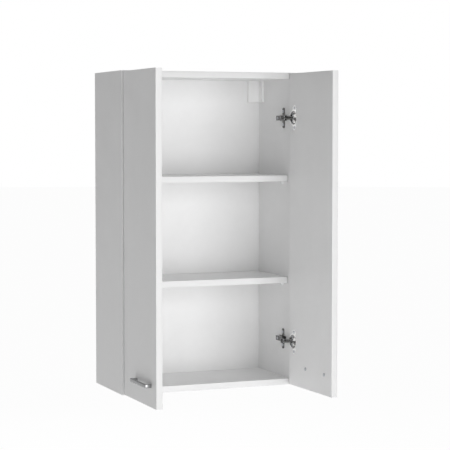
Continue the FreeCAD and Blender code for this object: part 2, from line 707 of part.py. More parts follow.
PIVOT_A = (S["board"] + S["pivot_a_in"], S["pivot_a_v"])
PIVOT_B = (S["board"] + S["pivot_b_in"], S["pivot_b_v"])
PIVOT_C = (S["board"] + S["pivot_c_in"], S["pivot_c_v"])
NOSE_D = (S["board"] + S["nose_d_in"], S["nose_d_v"])
CUP_U = S["board"] + S["cup_in"]
WING_U = CUP_U + S["cup_screw_in"]
ARM_TOP = S["board"] + S["arm_rise"]
PIN_BORE = S["hinge_pin_radius"] + S["pin_fit"]
body_frames = {}  # plan point about which each hinge or door body is drawn, by label


class HingeSide:
    """Frames of one door side. Local x is -side * u and local y is -v, from each frame's own origin."""

    def __init__(self, name):
        self.name = name
        self.side = SIDES[name]
        self.open = OPEN[name]
        self.door_pivot = turned(PIVOT_A, PIVOT_B, S["outer_ratio"] * self.open)

    def to_local(self, point, origin):
        return -self.side * (as_size(point[0]) - origin[0]), -(as_size(point[1]) - origin[1])

    def frame(self, label, at, origin, z=0, angle=None):
        """A body whose frame is at plan point `at`, drawn about plan point `origin`, turned by `angle`."""
        body = new_body(label, x=self.side * (HALF_WIDTH - at[0]), y=FRONT - at[1], z=z,
                        turn=self.side * angle if angle else None)
        body_frames[label] = origin
        return body

    def fixed_body(self, label, z):
        return self.frame(label, (0, 0), (as_size(0), as_size(0)), z)

    def door_body(self, label, z=0):
        return self.frame(label, self.door_pivot, PIVOT_B, z, self.open)

    def outline(self, body, points):
        origin = body_frames[body.Label]
        local = [self.to_local(point, origin) for point in points]
        return lambda sketch: polygon(sketch, local)

    def prism(self, body, points, low, high, kind="Pad"):
        return slab(body, "XY", low, high, self.outline(body, points), kind)

    def plates(self, body, u0, u1, v0, v1, low, high, kind="Pad"):
        return self.prism(body, [(u0, v0), (u1, v0), (u1, v1), (u0, v1)], low, high, kind)

    def upright(self, body, centres, low, high, radius, kind="Pad"):
        """Round features with their axis along z."""
        origin = body_frames[body.Label]
        return discs(body, "XY", low, high, [self.to_local(point, origin) for point in centres], radius, kind)

    def across(self, body, spots, u0, u1, radius, kind="Pad"):
        """Round features with their axis along u, at (v, z)."""
        origin = body_frames[body.Label]
        a, b = span(self.side, as_size(u0) - origin[0], as_size(u1) - origin[0])
        return discs(body, "YZ", a, b, [(-(as_size(v) - origin[1]), z) for v, z in spots], radius, kind)

    def through(self, body, spots, v0, v1, radius, kind="Pad"):
        """Round features with their axis along v, at (u, z), from v0 to the larger v1."""
        origin = body_frames[body.Label]
        centres = [(-self.side * (as_size(u) - origin[0]), z) for u, z in spots]
        low, high = origin[1] - as_size(v1), origin[1] - as_size(v0)
        return discs(body, "XZ", low, high, centres, radius, kind)


def mounting_plate(hinge, level_name, z):
    """Cross-shaped plate screwed to the side panel, with the raised block that the arm sits on."""
    body = hinge.fixed_body(hinge.name + "_" + level_name + "_hinge_plate", z)
    seat = S["board"]
    screw_v = -S["system_inset"]
    half = S["wing_wide"] / 2
    top = ARM_TOP - S["arm_wall"]
    wing = hinge.plates(body, seat, seat + S["plate_thick"], screw_v - half, screw_v + half,
                        -S["wing_half"], S["wing_half"])
    round_edges(body, wing, S["wing_round"], lambda point, direction: abs(direction.x) > 0.9)
    side_edge = S["arm_half"] + S["plate_margin"]
    hinge.plates(body, seat, seat + S["plate_thick"], S["arm_rear"] + 2, S["block_front"] + 4,
                 -side_edge, side_edge)
    hinge.plates(body, seat, top, S["arm_rear"] + 4, S["block_front"], -S["block_half"], S["block_half"])
    spots = [(screw_v, sign * S["plate_pitch"] / 2) for sign in (-1, 1)]
    hinge.across(body, spots, seat - PAST, seat + PAST, S["plate_screw_radius"] + S["fit_gap"], "Pocket")
    bottom = top - S["adjust_entry"] - S["end_gap"]
    hinge.across(body, [(S["fix_screw_v"], 0), (S["side_screw_v"], 0)], bottom, top + PAST,
                 S["adjust_radius"] + S["fit_gap"], "Pocket")
    NODES.append(body)


def hinge_arm(hinge, level_name, z):
    """Channel-section arm: slides over the plate's block, rises to the two pivots at the door end."""
    body = hinge.fixed_body(hinge.name + "_" + level_name + "_hinge_arm", z)
    rear, seat, top, wall = S["arm_rear"], S["board"] + S["arm_lift"], ARM_TOP, S["arm_wall"]
    au, av = PIVOT_A
    cu, cv = PIVOT_C
    web_end = av - 7.0
    profile = [(seat, rear), (seat, -24.0), (au - 10, av - 16), (au - 4.5, av - 6.5), (au - 2.6, av - 1),
               (cu - 2.5, cv + 0.6), (cu - 1.2, cv + 2.3), (cu + 1.2, cv + 2.3), (cu + 2.6, cv + 0.6),
               (au + 2.4, av - 2), (au + 1, av - 10), (au - 6, av - 20), (top, -26.0), (top, rear)]
    hinge.prism(body, profile, -S["arm_half"], S["arm_half"])
    inner = S["arm_half"] - wall
    channel = [(seat - PAST, rear - PAST), (seat - PAST, -23.0), (au - 12, av - 15), (au - 12, cv + PAST),
               (au + 8, cv + PAST), (au + 8, web_end), (au + 1 - wall, web_end), (au + 1 - wall, av - 10),
               (au - 6 - wall, av - 19.6), (top - wall, -25.4), (top - wall, rear - PAST)]
    hinge.prism(body, channel, -inner, inner, "Pocket")
    hinge.upright(body, [PIVOT_A, PIVOT_C], -S["arm_half"] - 1, S["arm_half"] + 1, PIN_BORE, "Pocket")
    slot = S["adjust_radius"] + S["adjust_gap"]
    hinge.plates(body, top - wall - 1, top + 1, S["fix_screw_v"] - S["adjust_travel"],
                 S["fix_screw_v"] + S["adjust_travel"], -slot, slot, "Pocket")
    hinge.across(body, [(S["side_screw_v"], 0)], top - wall - 1, top + 1,
                 S["adjust_radius"] + S["fit_gap"], "Pocket")
    NODES.append(body)


def hinge_cup(hinge, level_name, z):
    """Pressed cup let into the door, with a winged flange and the pin bores in its wall."""
    body = hinge.door_body(hinge.name + "_" + level_name + "_hinge_cup", z)
    u = CUP_U
    face = S["door_gap"]
    rim = face - S["flange_thick"]
    wing = hinge.plates(body, WING_U - S["flange_wide"] / 2, WING_U + S["flange_wide"] / 2, rim, face,
                        -S["flange_tall"] / 2, S["flange_tall"] / 2)
    round_edges(body, wing, S["flange_round"], lambda point, direction: abs(direction.y) > 0.9)
    hinge.through(body, [(u, 0)], rim, face, S["cup_radius"] + S["flange_lip"])
    hinge.through(body, [(u, 0)], face, face + S["cup_deep"], S["cup_radius"])
    hinge.through(body, [(u, 0)], rim - PAST, face + S["cup_deep"] - S["cup_floor"],
                  S["cup_radius"] - S["cup_wall"], "Pocket")
    spots = [(WING_U, sign * S["cup_screw_pitch"] / 2) for sign in (-1, 1)]
    hinge.through(body, spots, rim - PAST, face + PAST, S["cup_screw_radius"] + S["fit_gap"], "Pocket")
    hinge.upright(body, [PIVOT_B], -S["cup_radius"], S["cup_radius"], PIN_BORE, "Pocket")
    NODES.append(body)


def outer_link(hinge, level_name, z):
    """Two cranked cheeks joined by a bush on the arm pin; the crank clears the cup's rim when open."""
    body = hinge.frame(hinge.name + "_" + level_name + "_outer_link", PIVOT_A, PIVOT_A, z,
                       S["outer_ratio"] * hinge.open)
    au, av = PIVOT_A
    bu, bv = PIVOT_B
    bar = [(au, av - 1.6), (bu + 9.8, bv + 0.7), (bu + 6.6, bv + 1.9), (bu + 4.2, bv + 0.3),
           (bu + 1.6, bv - 1.5),
           (bu - 1.2, bv - 1.6), (bu - 2.0, bv + 0.8), (bu + 3.4, bv + 4.3), (bu + 8.5, bv + 4.6),
           (au - 6, av + 3.6), (au, av + 2.0)]
    eye, bore = S["link_eye"], S["hinge_pin_radius"] + S["run_gap"]
    low, high = S["link_cheek_in"], S["link_cheek_out"]
    for a, b in ((low, high), (-high, -low)):
        hinge.prism(body, bar, a, b)
        hinge.upright(body, [PIVOT_A, PIVOT_B], a, b, eye - 0.1)
    hinge.upright(body, [PIVOT_A], -low, low, eye - 0.1)
    hinge.upright(body, [PIVOT_A, PIVOT_B], -high - 1, high + 1, bore, "Pocket")
    NODES.append(body)


def inner_link(hinge, level_name, z):
    """Narrow link between the outer link's cheeks; its rounded nose works inside the cup."""
    body = hinge.frame(hinge.name + "_" + level_name + "_inner_link", PIVOT_C, PIVOT_C, z,
                       S["inner_ratio"] * hinge.open)
    cu, cv = PIVOT_C
    du, dv = NOSE_D
    half = S["inner_link_half"]
    bar = [(cu + 0.4, cv - 1.2), (du + 0.35, dv - 1.0), (du - 0.35, dv + 1.0), (cu - 0.4, cv + 1.2)]
    hinge.prism(body, bar, -half, half)
    hinge.upright(body, [PIVOT_C], -half, half, S["link_eye"] - 0.1)
    hinge.upright(body, [NOSE_D], -half, half, S["nose_radius"])
    hinge.upright(body, [PIVOT_C], -half - 1, half + 1, S["hinge_pin_radius"] + S["run_gap"], "Pocket")
    NODES.append(body)


def hinge_fasteners():
    """Pins and screws of the carcass-side hinge parts, both sides at once."""
    right = HingeSide("right")
    body = right.fixed_body("hinge_arm_pins", 0)
    place(body, 0, FRONT, 0)
    body_frames[body.Label] = (HALF_WIDTH, as_size(0))
    half = S["arm_half"]
    pins = [right.upright(body, [PIVOT_A, PIVOT_C], z - half, z + half, S["hinge_pin_radius"])
            for z in HINGE_LEVELS.values()]
    mirror_x(body, pins)
    NODES.append(body)

    body = new_body("hinge_plate_screws")
    seat = INNER_HALF - S["plate_thick"]
    mirror_x(body, [
        discs(body, "YZ", seat, INNER_HALF + S["plate_screw_long"], PLATE_SPOTS, S["plate_screw_radius"]),
        discs(body, "YZ", seat - S["plate_screw_head"], seat, PLATE_SPOTS, S["plate_screw_head_radius"]),
    ])
    NODES.append(body)

    body = new_body("hinge_adjusting_screws")
    web = HALF_WIDTH - ARM_TOP
    low_end = web + S["arm_wall"] + S["adjust_entry"]
    fixing = [(FRONT - S["fix_screw_v"], z) for z in HINGE_LEVELS.values()]
    adjusting = [(FRONT - S["side_screw_v"], z) for z in HINGE_LEVELS.values()]
    mirror_x(body, [
        discs(body, "YZ", web, low_end, fixing + adjusting, S["adjust_radius"]),
        discs(body, "YZ", web - S["adjust_head"], web, fixing, S["adjust_head_radius"]),
    ])
    NODES.append(body)


# ---------------------------------------------------------------- doors

def door(hinge):
    """Door board, its four edge bands, the bow handle, and everything that is fastened to the board."""
    name, side = hinge.name, hinge.side
    near = S["door_reveal"]
    far = HALF_WIDTH - S["door_mid_gap"] / 2
    inner = S["door_gap"]
    outer = inner + S["board"]
    low = S["door_end_gap"]
    high = S["height"] - S["door_end_gap"]
    band = S["band"]
    levels = list(HINGE_LEVELS.values())

    body = hinge.door_body(name + "_door_panel")
    hinge.plates(body, near + band, far - band, inner, outer, low + band, high - band)
    hinge.through(body, [(CUP_U, z) for z in levels], inner - PAST, inner + S["cup_deep"] + S["end_gap"],
                  S["cup_radius"] + S["fit_gap"], "Pocket")
    cup_screws = [(WING_U, z + sign * S["cup_screw_pitch"] / 2) for z in levels for sign in (-1, 1)]
    hinge.through(body, cup_screws, inner - PAST, inner + S["cup_screw_long"] + S["end_gap"],
                  S["cup_screw_radius"] + S["fit_gap"], "Pocket")
    handle_u = [far - S["handle_hole_inset"] - S["handle_pitch"], far - S["handle_hole_inset"]]
    handle_spots = [(u, S["handle_level"]) for u in handle_u]
    hole = S["handle_screw_radius"] + S["fit_gap"]
    hinge.through(body, handle_spots, inner - PAST, outer + PAST, hole, "Pocket")
    NODES.append(body)

    def strip(u0, u1, z0, z1):
        a, b = span(side, u0 - PIVOT_B[0], u1 - PIVOT_B[0])
        return (a, b, -(outer - PIVOT_B[1]), -(inner - PIVOT_B[1]), z0, z1)

    at = hinge.door_pivot
    NODES.append(strips(name + "_door_edge_bands", [
        strip(near, near + band, low, high),
        strip(far - band, far, low, high),
        strip(near + band, far - band, low, low + band),
        strip(near + band, far - band, high - band, high),
    ], x=side * (HALF_WIDTH - at[0]), y=FRONT - at[1], turn=side * hinge.open))

    # handle: flat bow, square legs at both ends
    body = hinge.door_body(name + "_handle")
    leg, top = S["handle_leg"] / 2, outer + S["handle_rise"]
    under = top - S["handle_bar"]
    u0, u1 = handle_u
    bow = [(u0 - leg, outer), (u0 + leg, outer), (u0 + leg, under), (u1 - leg, under), (u1 - leg, outer),
           (u1 + leg, outer), (u1 + leg, top), (u0 - leg, top)]
    half = S["handle_tall"] / 2
    pad = hinge.prism(body, bow, S["handle_level"] - half, S["handle_level"] + half)
    far_y = -(top - PIVOT_B[1]).value
    round_edges(body, pad, S["handle_round"], lambda point, direction: abs(point.y - far_y) < 0.01)
    hinge.through(body, handle_spots, outer - PAST, outer + S["handle_screw_entry"] + S["end_gap"],
                  hole, "Pocket")
    NODES.append(body)

    body = hinge.door_body(name + "_handle_screws")
    hinge.through(body, handle_spots, inner, outer + S["handle_screw_entry"], S["handle_screw_radius"])
    hinge.through(body, handle_spots, inner - S["handle_screw_head"], inner, S["handle_screw_head_radius"])
    NODES.append(body)

    body = hinge.door_body(name + "_cup_screws")
    rim = inner - S["flange_thick"]
    hinge.through(body, cup_screws, rim, inner + S["cup_screw_long"], S["cup_screw_radius"])
    hinge.through(body, cup_screws, rim - S["cup_screw_head"], rim, S["cup_screw_head_radius"])
    NODES.append(body)

    body = hinge.door_body(name + "_cup_pins")
    farthest = CUP_U - PIVOT_B[0] + S["hinge_pin_radius"]
    half = chord_half(S["cup_radius"], farthest) - S["cup_pin_gap"]
    for z in levels:
        hinge.upright(body, [PIVOT_B], z - half, z + half, S["hinge_pin_radius"])
    NODES.append(body)


# ---------------------------------------------------------------- assembly

side_panel("left_side_panel", -1)
side_panel("right_side_panel", 1)
end_panel("bottom_panel", as_size(0), -1)
end_panel("top_panel", S["height"] - S["board"], 1)
back_panel()
for shelf_name, shelf_low in SHELF_LEVELS.items():
    shelf(shelf_name + "_shelf", shelf_low)
carcass_bands()
corner_fittings()
for hanger_name, hanger_side in SIDES.items():
    hanger(hanger_name, hanger_side)
hanger_screws()
for side_name in SIDES:
    hinge_side = HingeSide(side_name)
    for hinge_level, hinge_z in HINGE_LEVELS.items():
        for make in (mounting_plate, hinge_arm, hinge_cup, outer_link, inner_link):
            make(hinge_side, hinge_level, hinge_z)
    door(hinge_side)
hinge_fasteners()

doc.recompute()
for item in doc.Objects:
    if "Invalid" in item.State or "Error" in item.State:
        raise RuntimeError("%s did not rebuild: %s" % (item.Name, item.State))
for body, feature in CUTS:
    before = feature.BaseFeature.Shape.Volume
    if not feature.Shape.Volume < before - 1e-6:
        raise RuntimeError("%s in %s cuts nothing" % (feature.Name, body.Label))

os.makedirs("parts", exist_ok=True)
for node in NODES:
    shape = node.Shape
    if shape.isNull() or not shape.isValid() or not shape.Solids:
        raise RuntimeError("%s is not a valid solid" % node.Label)
    shape.exportStep("parts/%s.step" % node.Label)
print("nodes", len(NODES))
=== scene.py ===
"""Looks of the hanging wall cabinet.

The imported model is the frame. Its boards, bolts, dowels and hinge pins stay and are dressed; hinges,
hangers, covers and cams are copies of its nodes with broken edges; screws, edge bands, handles and shelf pins
are worked out here as smooth surfaces. Metres, +Z up, the wall at y = 0, doors towards -Y. On each door side
(u, v) is the plan frame of the closed door: u runs inward from the side panel's outer face, v forward from
the carcass front.
"""
import json
import logging
import math
from dataclasses import dataclass, field
from enum import Enum

import bmesh
import bpy
import numpy as np
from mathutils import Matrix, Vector


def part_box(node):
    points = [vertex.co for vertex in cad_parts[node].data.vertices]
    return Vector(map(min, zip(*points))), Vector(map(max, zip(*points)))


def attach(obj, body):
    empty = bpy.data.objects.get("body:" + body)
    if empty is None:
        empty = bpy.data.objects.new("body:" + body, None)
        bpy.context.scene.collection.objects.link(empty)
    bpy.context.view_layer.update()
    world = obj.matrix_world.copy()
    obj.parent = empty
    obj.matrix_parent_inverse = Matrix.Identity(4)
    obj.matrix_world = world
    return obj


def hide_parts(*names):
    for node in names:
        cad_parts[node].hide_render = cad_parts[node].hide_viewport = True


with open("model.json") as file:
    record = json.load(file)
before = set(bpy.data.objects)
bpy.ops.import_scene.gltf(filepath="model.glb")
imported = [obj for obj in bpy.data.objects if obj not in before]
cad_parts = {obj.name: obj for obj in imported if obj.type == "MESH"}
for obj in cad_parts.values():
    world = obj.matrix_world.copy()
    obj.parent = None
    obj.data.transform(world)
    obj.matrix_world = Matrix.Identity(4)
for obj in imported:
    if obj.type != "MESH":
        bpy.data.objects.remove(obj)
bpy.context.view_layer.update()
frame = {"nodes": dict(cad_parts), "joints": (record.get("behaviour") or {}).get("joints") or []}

Array = np.ndarray
Point = tuple[float, float, float]
LOG = logging.getLogger("wall_cabinet")

MM = 0.001
MERGE = 0.002 * MM
SMOOTH_ANGLE = 35.0
SCREW_SMOOTH_ANGLE = 50.0


class Side(Enum):
    """A door side, with the sign of its outer direction along x."""

    LEFT = -1
    RIGHT = 1

    @property
    def word(self) -> str:
        """The side's name as the nodes spell it."""
        return self.name.lower()


class Drive(Enum):
    """The recess in a screw head."""

    CROSS = "cross"
    POINTED_CROSS = "pointed cross"


# ------------------------------------------------------------------ surfaces

def grid_faces(rows: int, columns: int, offset: int) -> Array:
    """Quads of a grid that closes round in its columns.

    Args:
        rows: number of rings.
        columns: points in each ring.
        offset: index of the first point.

    Returns:
        An array of four indices per quad.
    """
    i = np.arange(rows - 1)[:, None] * columns
    j = np.arange(columns)[None, :]
    k = (j + 1) % columns
    quads = np.stack([i + j, i + k, i + columns + k, i + columns + j], -1)
    return quads.reshape(-1, 4) + offset


@dataclass
class Shell:
    """A closed surface in the making.

    Attributes:
        points: the points of each stack of rings.
        faces: point indices of every face.
        count: points so far.
    """

    points: list[Array] = field(default_factory=list)
    faces: list[list[int]] = field(default_factory=list)
    count: int = 0

    def add_rings(self, rings: Array, place: "Placing | None" = None, cap_first: bool = True) -> None:
        """Join a stack of rings and close its ends with one face each.

        Args:
            rings: the points, shape (rows, columns, 3).
            place: carries the rings to their place; none leaves them alone.
            cap_first: whether the first ring is closed too.
        """
        if place is not None:
            rings = place(rings.reshape(-1, 3)).reshape(rings.shape)
        rows, columns = rings.shape[:2]
        self.faces.extend(grid_faces(rows, columns, self.count).tolist())
        if cap_first:
            self.faces.append(list(range(self.count, self.count + columns)))
        last = self.count + (rows - 1) * columns
        self.faces.append(list(range(last, last + columns)))
        self.points.append(rings.reshape(-1, 3))
        self.count += rows * columns

    def to_object(self, name: str, smooth_angle: float = SMOOTH_ANGLE) -> bpy.types.Object:
        """Turn the shell into a mesh object.

        Args:
            name: the piece's name.
            smooth_angle: edges under this many degrees are shaded smooth.

        Returns:
            The linked object.
        """
        mesh = bpy.data.meshes.new(name)
        mesh.from_pydata(np.concatenate(self.points).tolist(), [], self.faces)
        work = bmesh.new()
        work.from_mesh(mesh)
        bmesh.ops.remove_doubles(work, verts=work.verts, dist=MERGE)
        bmesh.ops.dissolve_degenerate(work, edges=work.edges, dist=MERGE / 2)
        bmesh.ops.recalc_face_normals(work, faces=work.faces)
        return mesh_object(work, mesh, smooth_angle)


def mesh_object(work: bmesh.types.BMesh, mesh: bpy.types.Mesh, smooth_angle: float) -> bpy.types.Object:
    """Write a worked mesh back, shade it and link its object.

    Args:
        work: the worked mesh, which is freed.
        mesh: the mesh that takes it and gives the object its name.
        smooth_angle: edges under this many degrees are shaded smooth.

    Returns:
        The linked object.
    """
    work.to_mesh(mesh)
    work.free()
    mesh.shade_smooth()
    mesh.set_sharp_from_angle(angle=math.radians(smooth_angle))
    item = bpy.data.objects.new(mesh.name, mesh)
    bpy.context.scene.collection.objects.link(item)
    return item


def turned_rings(profile: list[tuple[float, float]], columns: int) -> Array:
    """A profile carried round the z axis: x = r cos a, y = r sin a, z = height.

    Args:
        profile: (radius, height) pairs.
        columns: points round each ring.

    Returns:
        Rings of shape (pairs, columns, 3).
    """
    angle = np.linspace(0, 2 * math.pi, columns, endpoint=False)
    radius = np.array([p[0] for p in profile])[:, None]
    height = np.array([p[1] for p in profile])[:, None] * np.ones_like(angle)
    return np.stack([radius * np.cos(angle), radius * np.sin(angle), height], -1)


def rounded_outline(corners: list[tuple[float, float]], radii: list[float], steps: int = 5) -> Array:
    """A closed outline with each corner replaced by an arc.

    The arc of radius r meets both sides at r / tan(half the corner) from it; its points are
    centre + r (cos t, sin t) for t between the two side normals.

    Args:
        corners: the corner points in order.
        radii: one radius per corner; zero keeps the corner sharp.
        steps: points on each arc.

    Returns:
        Points of shape (n, 2).
    """
    pts = np.array(corners, float)
    before = np.roll(pts, 1, 0) - pts
    after = np.roll(pts, -1, 0) - pts
    result: list[Array] = []
    for point, a, b, radius in zip(pts, before, after, radii):
        a = a / np.linalg.norm(a)
        b = b / np.linalg.norm(b)
        if radius <= 0:
            result.append(point[None])
            continue
        half = math.acos(float(np.clip(a @ b, -1, 1))) / 2
        centre = point + (a + b) / np.linalg.norm(a + b) * radius / math.sin(half)
        start = point + a * radius / math.tan(half) - centre
        end = point + b * radius / math.tan(half) - centre
        first = math.atan2(start[1], start[0])
        turn = (math.atan2(end[1], end[0]) - first + math.pi) % (2 * math.pi) - math.pi
        t = first + turn * np.linspace(0, 1, steps)
        result.append(centre + radius * np.stack([np.cos(t), np.sin(t)], -1))
    return np.concatenate(result)


def outline_normals(outline: Array) -> Array:
    """Outward normals at an outline's points: both sides turned a quarter, averaged and mitre-scaled.

    Args:
        outline: points of a closed outline, shape (n, 2), in either direction.

    Returns:
        One normal per point, as long as a unit inset of both sides needs.
    """
    tiny = 1e-15
    ahead = np.roll(outline, -1, 0)
    area = 0.5 * np.sum(outline[:, 0] * ahead[:, 1] - ahead[:, 0] * outline[:, 1])
    side = ahead - outline
    side /= np.linalg.norm(side, axis=1, keepdims=True) + tiny
    normal = np.stack([side[:, 1], -side[:, 0]], -1) * np.sign(area)
    both = normal + np.roll(normal, 1, 0)
    return both / (np.sum(both * both, 1, keepdims=True) / 2 + tiny)


def prism_rings(outline: Array, low: float, high: float, edge: float, steps: int) -> Array:
    """An outline carried along z with rounded rims.

    For t from 0 to a quarter turn the rim ring stands edge (1 - sin t) inside the outline at edge (1 - cos t)
    from the end; the other rim mirrors it.

    Args:
        outline: the cross-section, shape (n, 2).
        low: height of the lower end.
        high: height of the upper end.
        edge: radius of the rims.
        steps: rings in each rim.

    Returns:
        Rings of shape (2 * steps, n, 3).
    """
    t = np.linspace(0, math.pi / 2, steps)
    inset = edge * (1 - np.sin(t))
    rise = edge * (1 - np.cos(t))
    inset = np.concatenate([inset, inset[::-1]])
    height = np.concatenate([low + rise, high - rise[::-1]])
    ring = outline[None] - outline_normals(outline)[None] * inset[:, None, None]
    z = np.broadcast_to(height[:, None, None], (len(height), len(outline), 1))
    return np.concatenate([ring, z], -1)


@dataclass(frozen=True)
class Placing:
    """A rigid (or mirrored) move: world = origin + x * right + y * up + z * out."""

    origin: Point
    right: Point
    up: Point
    out: Point

    def __call__(self, points: Array) -> Array:
        """Move an array of local points, shape (n, 3)."""
        return np.array(self.origin) + points @ np.array([self.right, self.up, self.out])

    def shifted(self, x: float = 0.0, y: float = 0.0, z: float = 0.0) -> "Placing":
        """The same directions from another local point."""
        origin = self(np.array([[x, y, z]]))[0]
        return Placing(tuple(origin), self.right, self.up, self.out)


def copy_of_node(node: str, name: str, bevel: float, segments: int = 2) -> bpy.types.Object:
    """A finished copy of a CAD node: its triangles merged into clean faces and its edges broken.

    Args:
        node: the CAD node, whose shape is right.
        name: the piece's name.
        bevel: width of the broken edges.
        segments: faces across a broken edge.

    Returns:
        The linked object.
    """
    mesh = frame["nodes"][node].data.copy()
    mesh.name = name
    mesh.materials.clear()
    flat_angle, bevel_angle = 0.4, 38.0
    work = bmesh.new()
    work.from_mesh(mesh)
    bmesh.ops.remove_doubles(work, verts=work.verts, dist=MERGE)
    bmesh.ops.dissolve_limit(work, angle_limit=math.radians(flat_angle), verts=work.verts, edges=work.edges)
    item = mesh_object(work, mesh, SMOOTH_ANGLE)
    edge = item.modifiers.new("broken_edges", "BEVEL")
    edge.width = bevel
    edge.segments = segments
    edge.limit_method = "ANGLE"
    edge.angle_limit = math.radians(bevel_angle)
    edge.use_clamp_overlap = False
    edge.harden_normals = True
    return item


# ------------------------------------------------------------------ shared shader groups

class Graph:
    """A node tree with short ways to add and join nodes."""

    def __init__(self, tree: bpy.types.NodeTree) -> None:
        """Wrap a tree."""
        self.tree = tree

    def add(self, kind: str, **settings: object) -> bpy.types.Node:
        """Add a node; settings are its own properties, or socket values and links under the socket's name.

        Args:
            kind: the node type without its ShaderNode prefix.
            settings: property or socket, with spaces as underscores; a socket of another node makes a link.

        Returns:
            The new node.
        """
        node = self.tree.nodes.new("ShaderNode" + kind)
        late: dict[str, object] = {}
        for key, value in settings.items():
            if hasattr(node, key) and not isinstance(value, bpy.types.NodeSocket):
                setattr(node, key, value)
            else:
                late[key] = value
        for key, value in late.items():
            self.feed(node, key, value)
        return node

    def feed(self, node: bpy.types.Node, key: str, value: object) -> None:
        """Set or link one input.

        Args:
            node: the node.
            key: the input's number (i0, i1) or its name with spaces as underscores.
            value: a value to set, or a socket to link.
        """
        if key[0] == "i" and key[1:].isdigit():
            socket = node.inputs[int(key[1:])]
        else:
            socket = node.inputs[key.replace("_", " ")]
        if isinstance(value, bpy.types.NodeSocket):
            self.tree.links.new(value, socket)
        else:
            socket.default_value = value

    def maths(self, operation: str, first: object, second: object,
              clamp: bool = False) -> bpy.types.NodeSocket:
        """One sum on two numbers or sockets."""
        return self.add("Math", operation=operation, use_clamp=clamp, i0=first, i1=second).outputs[0]

    def spread(self, value: bpy.types.NodeSocket, low: float, high: float) -> bpy.types.NodeSocket:
        """Carry a value from 0..1 to low..high."""
        return self.add("MapRange", i0=value, i3=low, i4=high).outputs[0]

    def blend(self, mask: bpy.types.NodeSocket, first: object, second: object) -> bpy.types.NodeSocket:
        """Mix two colours by a mask.

        Args:
            mask: 0 gives the first colour, 1 the second.
            first: a colour or a socket.
            second: a colour or a socket.

        Returns:
            The mixed colour.
        """
        node = self.add("Mix", data_type="RGBA", clamp_factor=True)
        for index, value in ((0, mask), (6, first), (7, second)):
            if isinstance(value, bpy.types.NodeSocket):
                self.tree.links.new(value, node.inputs[index])
            else:
                node.inputs[index].default_value = value
        return node.outputs[2]


def shader_group(name: str, inputs: dict[str, float],
                 outputs: dict[str, str]) -> tuple[Graph, bpy.types.NodeOutputs, bpy.types.Node]:
    """Start a shader node group.

    Args:
        name: the group's name.
        inputs: number inputs with their defaults; a Coordinates vector input comes first in every group.
        outputs: output names with their socket kinds.

    Returns:
        The group's graph, the sockets that it is given, and the node that takes its results.
    """
    tree = bpy.data.node_groups.new(name, "ShaderNodeTree")
    tree.interface.new_socket("Coordinates", in_out="INPUT", socket_type="NodeSocketVector")
    for key, value in inputs.items():
        tree.interface.new_socket(key, in_out="INPUT", socket_type="NodeSocketFloat").default_value = value
    for key, kind in outputs.items():
        tree.interface.new_socket(key, in_out="OUTPUT", socket_type="NodeSocket" + kind)
    given = tree.nodes.new("NodeGroupInput").outputs
    return Graph(tree), given, tree.nodes.new("NodeGroupOutput")


def cloud_group() -> bpy.types.NodeTree:
    """Soft uneven clouding: two noises, the finer at half weight, added and stretched to a 0..1 mask.

    Returns:
        The group.
    """
    finer, finer_share, low, high = 5.3, 0.5, 0.5, 1.0
    graph, given, result = shader_group("soft_clouding", {"Scale": 20.0}, {"Mask": "Float"})
    place, scale = given["Coordinates"], given["Scale"]
    large = graph.add("TexNoise", Vector=place, Scale=scale, Detail=3.0)
    small = graph.add("TexNoise", Vector=place, Scale=graph.maths("MULTIPLY", scale, finer), Detail=4.0)
    both = graph.maths("ADD", large.outputs[0], graph.maths("MULTIPLY", small.outputs[0], finer_share))
    graph.feed(result, "Mask", graph.add("MapRange", i0=both, i1=low, i2=high, i3=0.0, i4=1.0).outputs[0])
    return graph.tree


def relief_group() -> bpy.types.NodeTree:
    """Fine skin relief: a noise of the given grain turned into a normal by a bump of the given depth.

    Returns:
        The group.
    """
    inputs = {"Scale": 900.0, "Depth": 0.00002}
    graph, given, result = shader_group("skin_relief", inputs, {"Normal": "Vector"})
    grain = graph.add("TexNoise", Vector=given["Coordinates"], Scale=given["Scale"], Detail=2.0)
    bump = graph.add("Bump", Height=grain.outputs[0], Distance=given["Depth"], Strength=1.0)
    graph.feed(result, "Normal", bump.outputs[0])
    return graph.tree


def scuff_group() -> bpy.types.NodeTree:
    """Fine handling marks: a noise squeezed fortyfold along one direction and cut to its peaks.

    Returns:
        The group.
    """
    turn, squeeze, low, high = (0.3, 0.5, 0.7), (1.0, 1.0, 40.0), 0.6, 0.75
    graph, given, result = shader_group("handling_marks", {"Scale": 60.0, "Amount": 0.5}, {"Mask": "Float"})
    turned = graph.add("Mapping", Vector=given["Coordinates"], Rotation=turn, Scale=squeeze)
    lines = graph.add("TexNoise", Vector=turned.outputs[0], Scale=given["Scale"], Detail=2.0)
    peaks = graph.add("MapRange", i0=lines.outputs[0], i1=low, i2=high, i3=0.0, i4=1.0)
    graph.feed(result, "Mask", graph.maths("MULTIPLY", peaks.outputs[0], given["Amount"], clamp=True))
    return graph.tree


